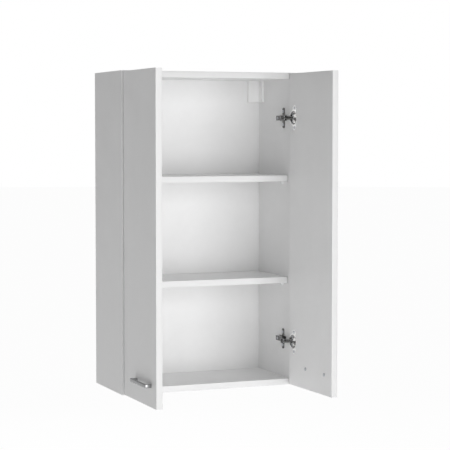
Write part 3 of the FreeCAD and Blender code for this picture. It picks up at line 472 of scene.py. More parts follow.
def chip_group() -> bpy.types.NodeTree:
    """Pressed wood chips: cells stretched along the board give each chip its shade and its height.

    Returns:
        The group.
    """
    stretch, finer, cell_share, dust_share = (1.0, 1.0, 0.45), 4.0, 0.7, 0.3
    graph, given, result = shader_group("wood_chips", {"Scale": 320.0}, {"Shade": "Float", "Height": "Float"})
    scale = given["Scale"]
    wide = graph.add("Mapping", Vector=given["Coordinates"], Scale=stretch).outputs[0]
    cells = graph.add("TexVoronoi", Vector=wide, Scale=scale, Randomness=1.0)
    shade = graph.add("SeparateColor", Color=cells.outputs["Color"]).outputs[0]
    dust = graph.add("TexNoise", Vector=wide, Scale=graph.maths("MULTIPLY", scale, finer)).outputs[0]
    of_cells = graph.maths("MULTIPLY", shade, cell_share)
    of_dust = graph.maths("MULTIPLY", dust, dust_share)
    graph.feed(result, "Shade", graph.maths("ADD", of_cells, of_dust))
    graph.feed(result, "Height", cells.outputs["Distance"])
    return graph.tree


GROUPS: dict[str, bpy.types.NodeTree] = {}


def use_group(graph: Graph, name: str, **inputs: object) -> bpy.types.Node:
    """Place a shared group in a material, built the first time it is asked for.

    Args:
        graph: the material's graph.
        name: clouds, relief, scuffs or chips.
        inputs: values or sockets for the group's inputs.

    Returns:
        The group's node.
    """
    makers = {"clouds": cloud_group, "relief": relief_group, "scuffs": scuff_group, "chips": chip_group}
    if name not in GROUPS:
        GROUPS[name] = makers[name]()
    node = graph.tree.nodes.new("ShaderNodeGroup")
    node.node_tree = GROUPS[name]
    for key, value in inputs.items():
        graph.feed(node, key, value)
    return node


# ------------------------------------------------------------------ finishes

Colour = tuple[float, float, float]
WHITE = (1.0, 1.0, 1.0, 1.0)


def rgba(colour: Colour, factor: float = 1.0) -> tuple[float, float, float, float]:
    """A colour with its alpha, scaled by a factor."""
    return (*(channel * factor for channel in colour), 1.0)


@dataclass(frozen=True)
class Finish:
    """What every finish shares: a name, a colour, and how rough and how grainy the skin is.

    Attributes:
        name: the material's name.
        colour: linear base colour.
        rough: mean roughness.
        rough_spread: how far the roughness wanders.
        tone_spread: how far the brightness wanders.
        cloud_scale: clouds per metre.
        grain_scale: grains per metre.
        grain_depth: height of the grain in metres.
    """

    name: str
    colour: Colour
    rough: float = 0.4
    rough_spread: float = 0.05
    tone_spread: float = 0.03
    cloud_scale: float = 12.0
    grain_scale: float = 1100.0
    grain_depth: float = 0.00002

    def start(self) -> tuple[bpy.types.Material, Graph, bpy.types.Node, bpy.types.NodeSocket]:
        """Start the material.

        Returns:
            The material, its graph, its Principled shader and its Object coordinates.
        """
        material = bpy.data.materials.new(self.name)
        material.use_nodes = True
        graph = Graph(material.node_tree)
        shader = graph.tree.nodes["Principled BSDF"]
        place = graph.add("TexCoord").outputs["Object"]
        return material, graph, shader, place

    def skin(self, graph: Graph, shader: bpy.types.Node, place: bpy.types.NodeSocket) -> bpy.types.NodeSocket:
        """Colour, roughness and relief that wander over the surface.

        Args:
            graph: the material's graph.
            shader: the Principled shader that takes them.
            place: Object coordinates.

        Returns:
            The wandering colour.
        """
        clouds = use_group(graph, "clouds", Coordinates=place, Scale=self.cloud_scale).outputs["Mask"]
        relief = use_group(graph, "relief", Coordinates=place, Scale=self.grain_scale, Depth=self.grain_depth)
        tone = graph.blend(clouds, rgba(self.colour, 1 - self.tone_spread), rgba(self.colour))
        graph.feed(shader, "Base_Color", tone)
        graph.feed(shader, "Roughness", graph.spread(clouds, self.rough - self.rough_spread,
                                                     self.rough + self.rough_spread))
        graph.feed(shader, "Normal", relief.outputs["Normal"])
        return tone

    def material(self) -> bpy.types.Material:
        """Build the plain form of the finish.

        Returns:
            The material.
        """
        material, graph, shader, place = self.start()
        self.skin(graph, shader, place)
        return material


@dataclass(frozen=True)
class RawBackedBoard(Finish):
    """Faced board whose rearward faces are raw: chips on a board's edge, plain brown fibre on a thin back.

    Attributes:
        raw_light: the raw core's lightest colour.
        raw_dark: the raw core's darkest colour.
        raw_roughness: what the raw core adds to the roughness.
        rearward: a face is raw where its normal's share towards +Y passes this.
        chip_scale: chips per metre.
        chip_depth: height of a chip in metres.
    """

    raw_light: Colour = (0.47, 0.33, 0.19)
    raw_dark: Colour = (0.24, 0.15, 0.08)
    raw_roughness: float = 0.45
    rearward: float = 0.7
    chip_scale: float = 330.0
    chip_depth: float = 0.00025

    def material(self) -> bpy.types.Material:
        """Build the facing, then lay the raw core over every face that looks towards +Y.

        Returns:
            The material.
        """
        material, graph, shader, place = self.start()
        facing = self.skin(graph, shader, place)
        skin_normal = shader.inputs["Normal"].links[0].from_socket
        skin_rough = shader.inputs["Roughness"].links[0].from_socket
        chips = use_group(graph, "chips", Coordinates=place, Scale=self.chip_scale)
        raw = graph.blend(chips.outputs["Shade"], rgba(self.raw_dark), rgba(self.raw_light))
        normal = graph.add("TexCoord").outputs["Normal"]
        towards_back = graph.add("SeparateXYZ", Vector=normal).outputs["Y"]
        mask = graph.maths("GREATER_THAN", towards_back, self.rearward)
        bump = graph.add("Bump", Height=chips.outputs["Height"], Distance=self.chip_depth, Normal=skin_normal)
        graph.feed(bump, "Strength", mask)
        graph.feed(shader, "Base_Color", graph.blend(mask, facing, raw))
        lift = graph.maths("MULTIPLY", mask, self.raw_roughness)
        graph.feed(shader, "Roughness", graph.maths("ADD", skin_rough, lift, clamp=True))
        graph.feed(shader, "Normal", bump.outputs[0])
        return material


@dataclass(frozen=True)
class PlatedMetal(Finish):
    """Plated or polished metal with fine handling marks in its gloss.

    Attributes:
        mark_scale: marks per metre.
        marks: how strongly they show.
        mark_roughness: what a mark adds to the roughness.
        mark_tone: a mark's brightness against the clean metal.
    """

    mark_scale: float = 90.0
    marks: float = 0.5
    mark_roughness: float = 0.15
    mark_tone: float = 0.82

    def material(self) -> bpy.types.Material:
        """Build the metal: the marks raise the roughness and dull the colour a little.

        Returns:
            The material.
        """
        material, graph, shader, place = self.start()
        tone = self.skin(graph, shader, place)
        rough = shader.inputs["Roughness"].links[0].from_socket
        scuffs = use_group(graph, "scuffs", Coordinates=place, Scale=self.mark_scale, Amount=self.marks)
        marks = scuffs.outputs["Mask"]
        graph.feed(shader, "Base_Color", graph.blend(marks, tone, rgba(self.colour, self.mark_tone)))
        lift = graph.maths("MULTIPLY", marks, self.mark_roughness)
        graph.feed(shader, "Roughness", graph.maths("ADD", rough, lift, clamp=True))
        shader.inputs["Metallic"].default_value = 1.0
        return material


@dataclass(frozen=True)
class MouldedPlastic(Finish):
    """Moulded plastic.

    Attributes:
        milky: share of light that goes through.
        refraction: index of refraction.
    """

    milky: float = 0.0
    refraction: float = 1.49

    def material(self) -> bpy.types.Material:
        """Build the plastic.

        Returns:
            The material.
        """
        material, graph, shader, place = self.start()
        self.skin(graph, shader, place)
        shader.inputs["IOR"].default_value = self.refraction
        shader.inputs["Transmission Weight"].default_value = self.milky
        return material


@dataclass(frozen=True)
class TurnedBeech(Finish):
    """Plain beech with its grain along x: rings stretched along the dowel, and short dark flecks.

    Attributes:
        grain_dark: colour of the flecks.
        stretch: squeeze of the pattern along the grain.
        ring_scale: size of the ring pattern.
        fleck_scale: flecks per metre.
    """

    grain_dark: Colour = (0.42, 0.27, 0.15)
    stretch: float = 0.12
    ring_scale: float = 500.0
    fleck_scale: float = 1600.0

    def material(self) -> bpy.types.Material:
        """Build the wood.

        Returns:
            The material.
        """
        material, graph, shader, place = self.start()
        tone = self.skin(graph, shader, place)
        along = graph.add("Mapping", Vector=place, Scale=(self.stretch, 1.0, 1.0)).outputs[0]
        rings = graph.add("TexWave", Vector=along, Scale=self.ring_scale, Distortion=3.0, bands_direction="Z")
        flecks = graph.add("TexNoise", Vector=along, Scale=self.fleck_scale)
        share = graph.maths("MULTIPLY", rings.outputs["Fac"], flecks.outputs[0])
        graph.feed(shader, "Base_Color", graph.blend(share, tone, rgba(self.grain_dark)))
        return material


class Look(Enum):
    """Every finish on the cabinet, with the record slot that it belongs to."""

    BOARD = (RawBackedBoard("white_melamine", (0.9, 0.9, 0.9), rough=0.4, grain_scale=900.0), "white_board")
    BACK = (RawBackedBoard("white_lacquered_back", (0.92, 0.92, 0.92), rough=0.5,
                           raw_light=(0.27, 0.17, 0.095), raw_dark=(0.17, 0.1, 0.055),
                           chip_scale=1500.0, chip_depth=0.00005), "white_back")
    BAND = (Finish("white_edge_band", (0.83, 0.83, 0.83), rough=0.34, rough_spread=0.04, tone_spread=0.015,
                   grain_scale=1500.0, grain_depth=0.00001), "edge_band")
    HANDLE = (PlatedMetal("bright_plated_handle", (0.38, 0.385, 0.39), rough=0.24, rough_spread=0.03,
                          cloud_scale=40.0, grain_scale=2500.0, grain_depth=0.000002, marks=0.3),
              "handle_metal")
    # Painted shade: plates, arms and links are the same plated steel as the cups, but their colour is
    # darkened to near black to stand in for the shade they sit in.
    HINGE = (PlatedMetal("nickel_plated_hinge", (0.15, 0.149, 0.147), rough=0.2, cloud_scale=160.0,
                         grain_scale=2600.0, grain_depth=0.000006), "hinge_steel")
    # Partly real, partly painted highlight: the cups have real bright plating, and their colour is raised to
    # near white so the flange shows as a bright strip, while the same steel on the plates is darkened.
    CUP = (PlatedMetal("bright_plated_cup", (0.94, 0.935, 0.93), rough=0.14, cloud_scale=160.0,
                       grain_scale=2600.0, grain_depth=0.000006), "hinge_steel")
    SCREW = (PlatedMetal("zinc_plated_screw", (0.58, 0.59, 0.62), rough=0.3, cloud_scale=300.0,
                         grain_scale=3200.0, grain_depth=0.000006, mark_scale=200.0), "fastener_steel")
    HANGER = (PlatedMetal("zinc_plated_hanger", (0.64, 0.65, 0.68), rough=0.34, tone_spread=0.14,
                          cloud_scale=120.0, grain_scale=1500.0, grain_depth=0.00001), "hanger_steel")
    CAM = (PlatedMetal("cast_zinc_cam", (0.52, 0.53, 0.55), rough=0.42, tone_spread=0.16, cloud_scale=260.0,
                       grain_scale=1800.0, grain_depth=0.00003), "cam_zinc")
    COVER = (MouldedPlastic("white_moulded_cover", (0.99, 0.99, 0.99), rough=0.42, grain_scale=2200.0,
                            grain_depth=0.00002), "cover_plastic")
    PIN = (MouldedPlastic("milky_shelf_pin", (0.95, 0.955, 0.96), rough=0.25, cloud_scale=200.0, milky=0.06,
                          grain_depth=0.000004), "pin_plastic")
    DOWEL = (TurnedBeech("plain_beech", (0.62, 0.45, 0.28), rough=0.6, grain_depth=0.00004), "dowel_wood")

    @property
    def slot(self) -> str:
        """The record's material slot."""
        return self.value[1]

    def build(self) -> bpy.types.Material:
        """Make the finish's material once.

        Returns:
            The material.
        """
        if self not in MATERIALS:
            MATERIALS[self] = self.value[0].material()
        return MATERIALS[self]


MATERIALS: dict[Look, bpy.types.Material] = {}


def dress_node(node: str, look: Look) -> None:
    """Dress a CAD node that stays.

    Args:
        node: the node.
        look: its finish.
    """
    item = frame["nodes"][node]
    item.data.materials.clear()
    item.data.materials.append(look.build())
    LOG.info("dressed %s in %s", node, look.name)


def finish_piece(item: bpy.types.Object, look: Look, body: str, node: str) -> None:
    """Dress a new piece, set it on its body and let it stand for its CAD node.

    Args:
        item: the piece.
        look: its finish.
        body: the CAD body that it rides on.
        node: the CAD node that it replaces.
    """
    item.data.materials.clear()
    item.data.materials.append(look.build())
    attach(item, body)
    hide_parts(node)
    LOG.info("made %s on %s", item.name, body)


# ------------------------------------------------------------------ screws and pins

@dataclass(frozen=True)
class Screw:
    """A pan-head screw along local z: the head sits on z = 0 and rises to +z, the shank goes down.

    Attributes:
        head_radius: radius of the head.
        head: height of the head.
        shank_radius: radius of the shank.
        shank: length of the shank.
        drive: recess in the head.
        thread_pitch: pitch of the thread ridges; zero leaves the shank plain.
        columns: points round the screw.
    """

    head_radius: float
    head: float
    shank_radius: float
    shank: float
    drive: Drive = Drive.CROSS
    thread_pitch: float = 0.0
    columns: int = 96

    def bar(self, across: Array, along: Array, half: float) -> Array:
        """Share of the full depth in one bar of the recess.

        Across the bar the share is 1 within the half width and falls to 0 over the next third of it. Along
        the bar it falls linearly from 1 in the middle, and to 0 over the last quarter of its reach.

        Args:
            across: distances from the bar's middle line.
            along: distances along that line from the screw's axis.
            half: half the bar's width.

        Returns:
            The shares.
        """
        reach, side_slope, end_slope, fall = 0.62 * self.head_radius, 0.35, 0.25, 0.45
        side = np.clip((half - np.abs(across)) / (side_slope * half) + 1, 0, 1)
        end = np.clip((reach - np.abs(along)) / (end_slope * reach), 0, 1)
        return side * end * (1 - fall * np.abs(along) / reach)

    def recess(self, x: Array, y: Array) -> Array:
        """Depth of the recess: the deeper of two bars at right angles.

        A pointed cross has two thin, shallow bars more between them.

        Args:
            x: distances along the first bar.
            y: distances along the second bar.

        Returns:
            The depths.
        """
        half, depth_share, point_share = 0.13 * self.head_radius, 0.75, 0.35
        depth = np.maximum(self.bar(y, x, half), self.bar(x, y, half))
        if self.drive is Drive.POINTED_CROSS:
            one, other = (x + y) / math.sqrt(2), (x - y) / math.sqrt(2)
            points = np.maximum(self.bar(one, other, half / 3), self.bar(other, one, half / 3))
            depth = np.maximum(depth, point_share * points)
        return depth * depth_share * self.head

    def rings(self) -> Array:
        """Rings from the shank's end to the middle of the head.

        The shank's radius is its own plus a ridge that rises and falls once a pitch. The head is a pan: its
        side is a quarter arc, and its top a shallow dome of 0.85 + 0.15 (1 - (r / R)^2) of the head's height,
        less the recess.

        Returns:
            Rings of shape (rows, columns, 3).
        """
        tip, ridge_share, seat_share, crown_rise, under_cut, hub = 0.35, 0.14, 0.4, 0.15, 0.06, 0.04
        thread_rows, side_rows, crown_rows = 60, 6, 24
        edge = 0.45 * self.head
        angle = np.linspace(0, 2 * math.pi, self.columns, endpoint=False)
        turns = np.linspace(-self.shank, 0, thread_rows if self.thread_pitch else 2)
        ridge = np.zeros_like(turns)
        if self.thread_pitch:
            ridge = ridge_share * self.shank_radius * np.cos(2 * math.pi * turns / self.thread_pitch)
            ridge -= np.abs(ridge).max()
        radius = [tip * self.shank_radius, *(self.shank_radius + ridge)]
        height = [-self.shank, *turns]
        side = np.linspace(0, math.pi / 2, side_rows)
        radius += [self.head_radius - under_cut * edge, *(self.head_radius - edge * (1 - np.cos(side)))]
        height += [0.0, *(seat_share * self.head + edge * np.sin(side))]
        top = np.linspace(self.head_radius - edge, hub * self.head_radius, crown_rows)
        radius = np.concatenate([radius, top[1:]])[:, None]
        crown = 1 - crown_rise + crown_rise * (1 - (top / top[0]) ** 2)
        height = np.concatenate([height, self.head * crown[1:]])[:, None]
        x, y = radius * np.cos(angle), radius * np.sin(angle)
        on_top = (np.arange(len(radius)) >= len(radius) - len(top))[:, None]
        z = height - np.where(on_top, self.recess(x, y), 0.0)
        return np.stack([x, y, z], -1)


def screws_object(name: str, *sets: tuple[Screw, list[Placing]]) -> bpy.types.Object:
    """One object with a screw at every place.

    Args:
        name: the piece's name.
        sets: each screw with its places.

    Returns:
        The linked object.
    """
    shell = Shell()
    for screw, places in sets:
        rings = screw.rings()
        for place in places:
            shell.add_rings(rings, place)
    return shell.to_object(name, SCREW_SMOOTH_ANGLE)


# ------------------------------------------------------------------ plan of a door side

@dataclass(frozen=True)
class DoorPlan:
    """Where one door side is: its side, and the angle at which its door stands open.

    Attributes:
        side: left or right.
        open_angle: degrees from closed.
        width: carcass width over the sides.
        depth: carcass depth.
        board: board thickness.
        pivot: cup pin of the closed door as (u, v).
    """

    side: Side
    open_angle: float
    width: float = 450 * MM
    depth: float = 205 * MM
    board: float = 15 * MM
    pivot: tuple[float, float] = (11.7 * MM, 5.9 * MM)

    @property
    def door_body(self) -> str:
        """The door's body."""
        return self.side.word + "_door"

    def fixed(self) -> Placing:
        """Plan frame of the carcass.

        Returns:
            The frame, whose x is u, y is height and z is v.
        """
        s = self.side.value
        corner = (s * self.width / 2, -self.depth, 0.0)
        return Placing(corner, (-s, 0.0, 0.0), (0.0, 0.0, 1.0), (0.0, -1.0, 0.0))

    def door(self) -> Placing:
        """Carry the plan frame round with the open door about its cup pin.

        Returns:
            The frame of the door where it stands.
        """
        s = self.side.value
        angle = math.radians(self.open_angle)
        right = (-s * math.cos(angle), -math.sin(angle), 0.0)
        out = (s * math.sin(angle), -math.cos(angle), 0.0)
        joint = next(j for j in frame["joints"] if j["name"] == self.side.word + "_door_swing")
        pin = np.array([joint["pos_m"][0], joint["pos_m"][1], 0.0])
        origin = pin - self.pivot[0] * np.array(right) - self.pivot[1] * np.array(out)
        return Placing(tuple(origin), right, (0.0, 0.0, 1.0), out)


def facing_back(place: Placing, at: Point) -> Placing:
    """A place whose z looks against the plan's v, at a point given as (u, height, v)."""
    return Placing(place.shifted(*at).origin, place.right, place.up, tuple(-c for c in place.out))


# ------------------------------------------------------------------ carcass

@dataclass
class EdgeBanding:
    """Plastic bands on board edges, their two front corners rounded.

    Attributes:
        thick: band thickness.
        corner: radius of the front corners.
    """

    thick: float = 0.8 * MM
    corner: float = 0.55 * MM

    def outline(self, width: float) -> Array:
        """Cross-section: x across the board from 0 to width, y out of its edge from 0 to the thickness."""
        corners = [(0.0, 0.0), (width, 0.0), (width, self.thick), (0.0, self.thick)]
        return rounded_outline(corners, [0.0, 0.0, self.corner, self.corner])

    def strip(self, shell: Shell, width: float, length: float, place: Placing) -> None:
        """Carry the cross-section along local z from 0 to length."""
        shell.add_rings(prism_rings(self.outline(width), 0.0, length, 0.0, 1), place)


@dataclass
class Carcass:
    """Sides, top, bottom, back, shelves and what holds them together.

    Attributes:
        board: board thickness.
        banding: the edge bands.
        pin_shank: radius and length of a shelf pin in its bore.
        pin_head: radius and length of a shelf pin under the shelf.
        pin_waist: how far a pin's waist stands inside its head.
        pin_round: radius of a pin's free end.
        cam_edge: broken edges of the cams.
    """

    SHELVES = ("upper_shelf", "lower_shelf")

    board: float = 15 * MM
    banding: EdgeBanding = field(default_factory=EdgeBanding)
    pin_shank: tuple[float, float] = (2.5 * MM, 9 * MM)
    pin_head: tuple[float, float] = (3.5 * MM, 8 * MM)
    pin_waist: float = 0.5 * MM
    pin_round: float = 1.0 * MM
    cam_edge: float = 0.25 * MM

    def boards(self) -> None:
        """Dress the boards, whose CAD shape is right."""
        for node in ("left_side_panel", "right_side_panel", "top_panel", "bottom_panel", *self.SHELVES):
            dress_node(node, Look.BOARD)
        dress_node("back_panel", Look.BACK)

    def bands(self) -> None:
        """Bands on the front edges of the carcass and of the shelves."""
        low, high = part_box("carcass_edge_bands")
        board, thick = self.board, self.banding.thick
        shell = Shell()
        for x in (low.x, high.x - board):
            place = Placing((x, low.y + thick, 0.0), (1, 0, 0), (0, -1, 0), (0, 0, 1))
            self.banding.strip(shell, board, high.z - low.z, place)
        for z in (low.z, high.z - board):
            place = Placing((low.x + board, low.y + thick, z), (0, 0, 1), (0, -1, 0), (1, 0, 0))
            self.banding.strip(shell, board, high.x - low.x - 2 * board, place)
        finish_piece(shell.to_object("carcass_bands"), Look.BAND, "carcass", "carcass_edge_bands")
        low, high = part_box("shelf_edge_bands")
        shell = Shell()
        for node in self.SHELVES:
            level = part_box(node)[0].z
            place = Placing((low.x, low.y + thick, level), (0, 0, 1), (0, -1, 0), (1, 0, 0))
            self.banding.strip(shell, board, high.x - low.x, place)
        finish_piece(shell.to_object("shelf_bands"), Look.BAND, "carcass", "shelf_edge_bands")

    def pin_profile(self) -> list[tuple[float, float]]:
        """Half section of a shelf pin: shank, collar, shallow waist, and a quarter arc at the free end.

        Returns:
            (radius, height) pairs; height 0 is the side panel's face.
        """
        shank, shank_long = self.pin_shank
        head, head_long = self.pin_head
        waist, end = head - self.pin_waist, head_long - self.pin_round
        bevel, collar, slope, bend = 0.2 * MM, 1.3 * MM, 0.4 * MM, self.pin_round
        core, nose, shoulder, pole = 0.3, 0.85, 0.9, 0.2
        profile = [(core * shank, -shank_long), (nose * shank, -shank_long), (shank, -shoulder * shank_long),
                   (shank, 0.0), (head - bevel, 0.0), (head, bevel), (head, collar), (waist, collar + slope),
                   (waist, end - bevel - slope), (head, end - bevel)]
        profile += [(head - bend * (1 - math.cos(t)), head_long - bend * (1 - math.sin(t)))
                    for t in np.linspace(0, math.pi / 2, 6)]
        return [*profile, (pole * head, head_long)]

    def shelf_pins(self) -> None:
        """Milky pins in the side panels, four under each shelf."""
        low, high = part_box("shelf_pins")
        head = self.pin_head[0]
        rings = turned_rings(self.pin_profile(), 40)
        inner = high.x - self.pin_shank[1]
        shell = Shell()
        for node in self.SHELVES:
            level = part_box(node)[0].z - head
            for y in (low.y + head, high.y - head):
                for side in (-1, 1):
                    place = Placing((side * inner, y, level), (0, 1, 0), (0, 0, 1), (-side, 0, 0))
                    shell.add_rings(rings, place)
        finish_piece(shell.to_object("milky_shelf_pins"), Look.PIN, "carcass", "shelf_pins")

    def corner_fittings(self) -> None:
        """Cams with broken edges; bolts and dowels stay as they are, inside the boards."""
        cams = copy_of_node("cam_locks", "corner_cams", self.cam_edge)
        finish_piece(cams, Look.CAM, "carcass", "cam_locks")
        dress_node("cam_bolts", Look.SCREW)
        dress_node("dowels", Look.DOWEL)

    def build(self) -> None:
        """Make the carcass."""
        self.boards()
        self.bands()
        self.shelf_pins()
        self.corner_fittings()


@dataclass
class WallHangers:
    """Covers, housings, hooks and wall plates in the two top rear corners.

    Attributes:
        screw: the housing screws.
        edge: broken edges on the pressed steel.
        cover_edge: rounded edges on the moulded covers.
    """

    screw: Screw = Screw(3.2 * MM, 0.8 * MM, 1.7 * MM, 11 * MM, Drive.CROSS, 1.4 * MM)
    edge: float = 0.3 * MM
    cover_edge: float = 0.55 * MM

    def build(self) -> None:
        """Make both hangers and their screws."""
        for side in Side:
            name = side.word + "_"
            for part in ("hanger_housing", "hanger_hook", "wall_plate"):
                piece = copy_of_node(name + part, name + part + "_pressed", self.edge)
                finish_piece(piece, Look.HANGER, "carcass", name + part)
            cover = copy_of_node(name + "hanger_cover", name + "hanger_cover_moulded", self.cover_edge, 3)
            finish_piece(cover, Look.COVER, "carcass", name + "hanger_cover")
        self.screws()

    def screws(self) -> None:
        """Two low-headed screws in each housing."""
        low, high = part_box("hanger_screws")
        head = self.screw.head_radius
        seat = high.x - self.screw.shank
        places = [Placing((side.value * seat, low.y + head, z), (0, 1, 0), (0, 0, 1), (-side.value, 0, 0))
                  for side in Side for z in (low.z + head, high.z - head)]
        screws = screws_object("housing_screws", (self.screw, places))
        finish_piece(screws, Look.SCREW, "carcass", "hanger_screws")


# ------------------------------------------------------------------ hinges

@dataclass
class HingeSet:
    """The two concealed hinges of one door side.

    Attributes:
        plan: the door side.
        edge: broken edges of the pressed parts.
    """

    plan: DoorPlan
    edge: float = 0.25 * MM

    def build(self) -> None:
        """Plates and arms ride on the carcass, links on their own bodies, cups on the door."""
        name = self.plan.side.word
        bodies = {"hinge_plate": "carcass", "hinge_arm": "carcass", "outer_link": name + "_outer_links",
                  "inner_link": name + "_inner_links", "hinge_cup": self.plan.door_body}
        for level in ("lower", "upper"):
            for part, body in bodies.items():
                node = f"{name}_{level}_{part}"
                piece = copy_of_node(node, node + "_plated", self.edge, 3)
                # Cups take the plated steel lifted to a painted highlight; plates, arms and links take the
                # same steel darkened to painted shade.
                finish_piece(piece, Look.CUP if part == "hinge_cup" else Look.HINGE, body, node)
        dress_node(name + "_cup_pins", Look.SCREW)


@dataclass
class HingeScrews:
    """Screws of both sides: plate screws in the sides, fixing and adjusting screws in the arms.

    Attributes:
        plate_screw: holds a mounting plate.
        fixing_screw: holds an arm on its plate.
        adjuster: headless side adjuster.
        level: hinge height from the nearer end.
        pitch: plate screw pitch.
        inset: carcass front to the plate screws.
        fixing_back: carcass front to the fixing screw.
        adjuster_back: carcass front to the adjuster.
        arm_top: side panel's outer face to the arm's top.
        adjuster_sunk: arm's top to the adjuster's seat.
        wing: thickness of a mounting plate's wings.
    """

    plate_screw: Screw = Screw(4.3 * MM, 1.5 * MM, 2.5 * MM, 11 * MM, Drive.POINTED_CROSS, 2.0 * MM)
    fixing_screw: Screw = Screw(3.4 * MM, 1.6 * MM, 2.0 * MM, 6.3 * MM, Drive.POINTED_CROSS)
    adjuster: Screw = Screw(1.95 * MM, 0.5 * MM, 1.8 * MM, 6.3 * MM, Drive.CROSS)
    level: float = 110 * MM
    pitch: float = 32 * MM
    inset: float = 37 * MM
    fixing_back: float = 50 * MM
    adjuster_back: float = 31 * MM
    arm_top: float = 25.5 * MM
    adjuster_sunk: float = 0.5 * MM
    wing: float = 1.8 * MM

    def build(self, plans: list[DoorPlan]) -> None:
        """Place every screw from the plan frames.

        Args:
            plans: both door sides.
        """
        low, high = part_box("left_side_panel")
        levels = (low.z + self.level, high.z - self.level)
        seat = plans[0].board + self.wing
        sunk = self.arm_top - self.adjuster_sunk
        plates: list[Placing] = []
        arms: list[Placing] = []
        adjusters: list[Placing] = []
        for plan in plans:
            fixed = plan.fixed()
            for z in levels:
                for sign in (-1, 1):
                    plates.append(self.inward(fixed, seat, z + sign * self.pitch / 2, -self.inset))
                arms.append(self.inward(fixed, self.arm_top, z, -self.fixing_back))
                adjusters.append(self.inward(fixed, sunk, z, -self.adjuster_back))
        on_plates = screws_object("plate_screws", (self.plate_screw, plates))
        finish_piece(on_plates, Look.SCREW, "carcass", "hinge_plate_screws")
        on_arms = screws_object("arm_screws", (self.fixing_screw, arms), (self.adjuster, adjusters))
        finish_piece(on_arms, Look.SCREW, "carcass", "hinge_adjusting_screws")
        dress_node("hinge_arm_pins", Look.SCREW)

    @staticmethod
    def inward(fixed: Placing, u: float, z: float, v: float) -> Placing:
        """A place whose own z looks along u, away from the side panel."""
        return Placing(fixed.shifted(u, z, v).origin, fixed.out, fixed.up, fixed.right)


# ------------------------------------------------------------------ doors

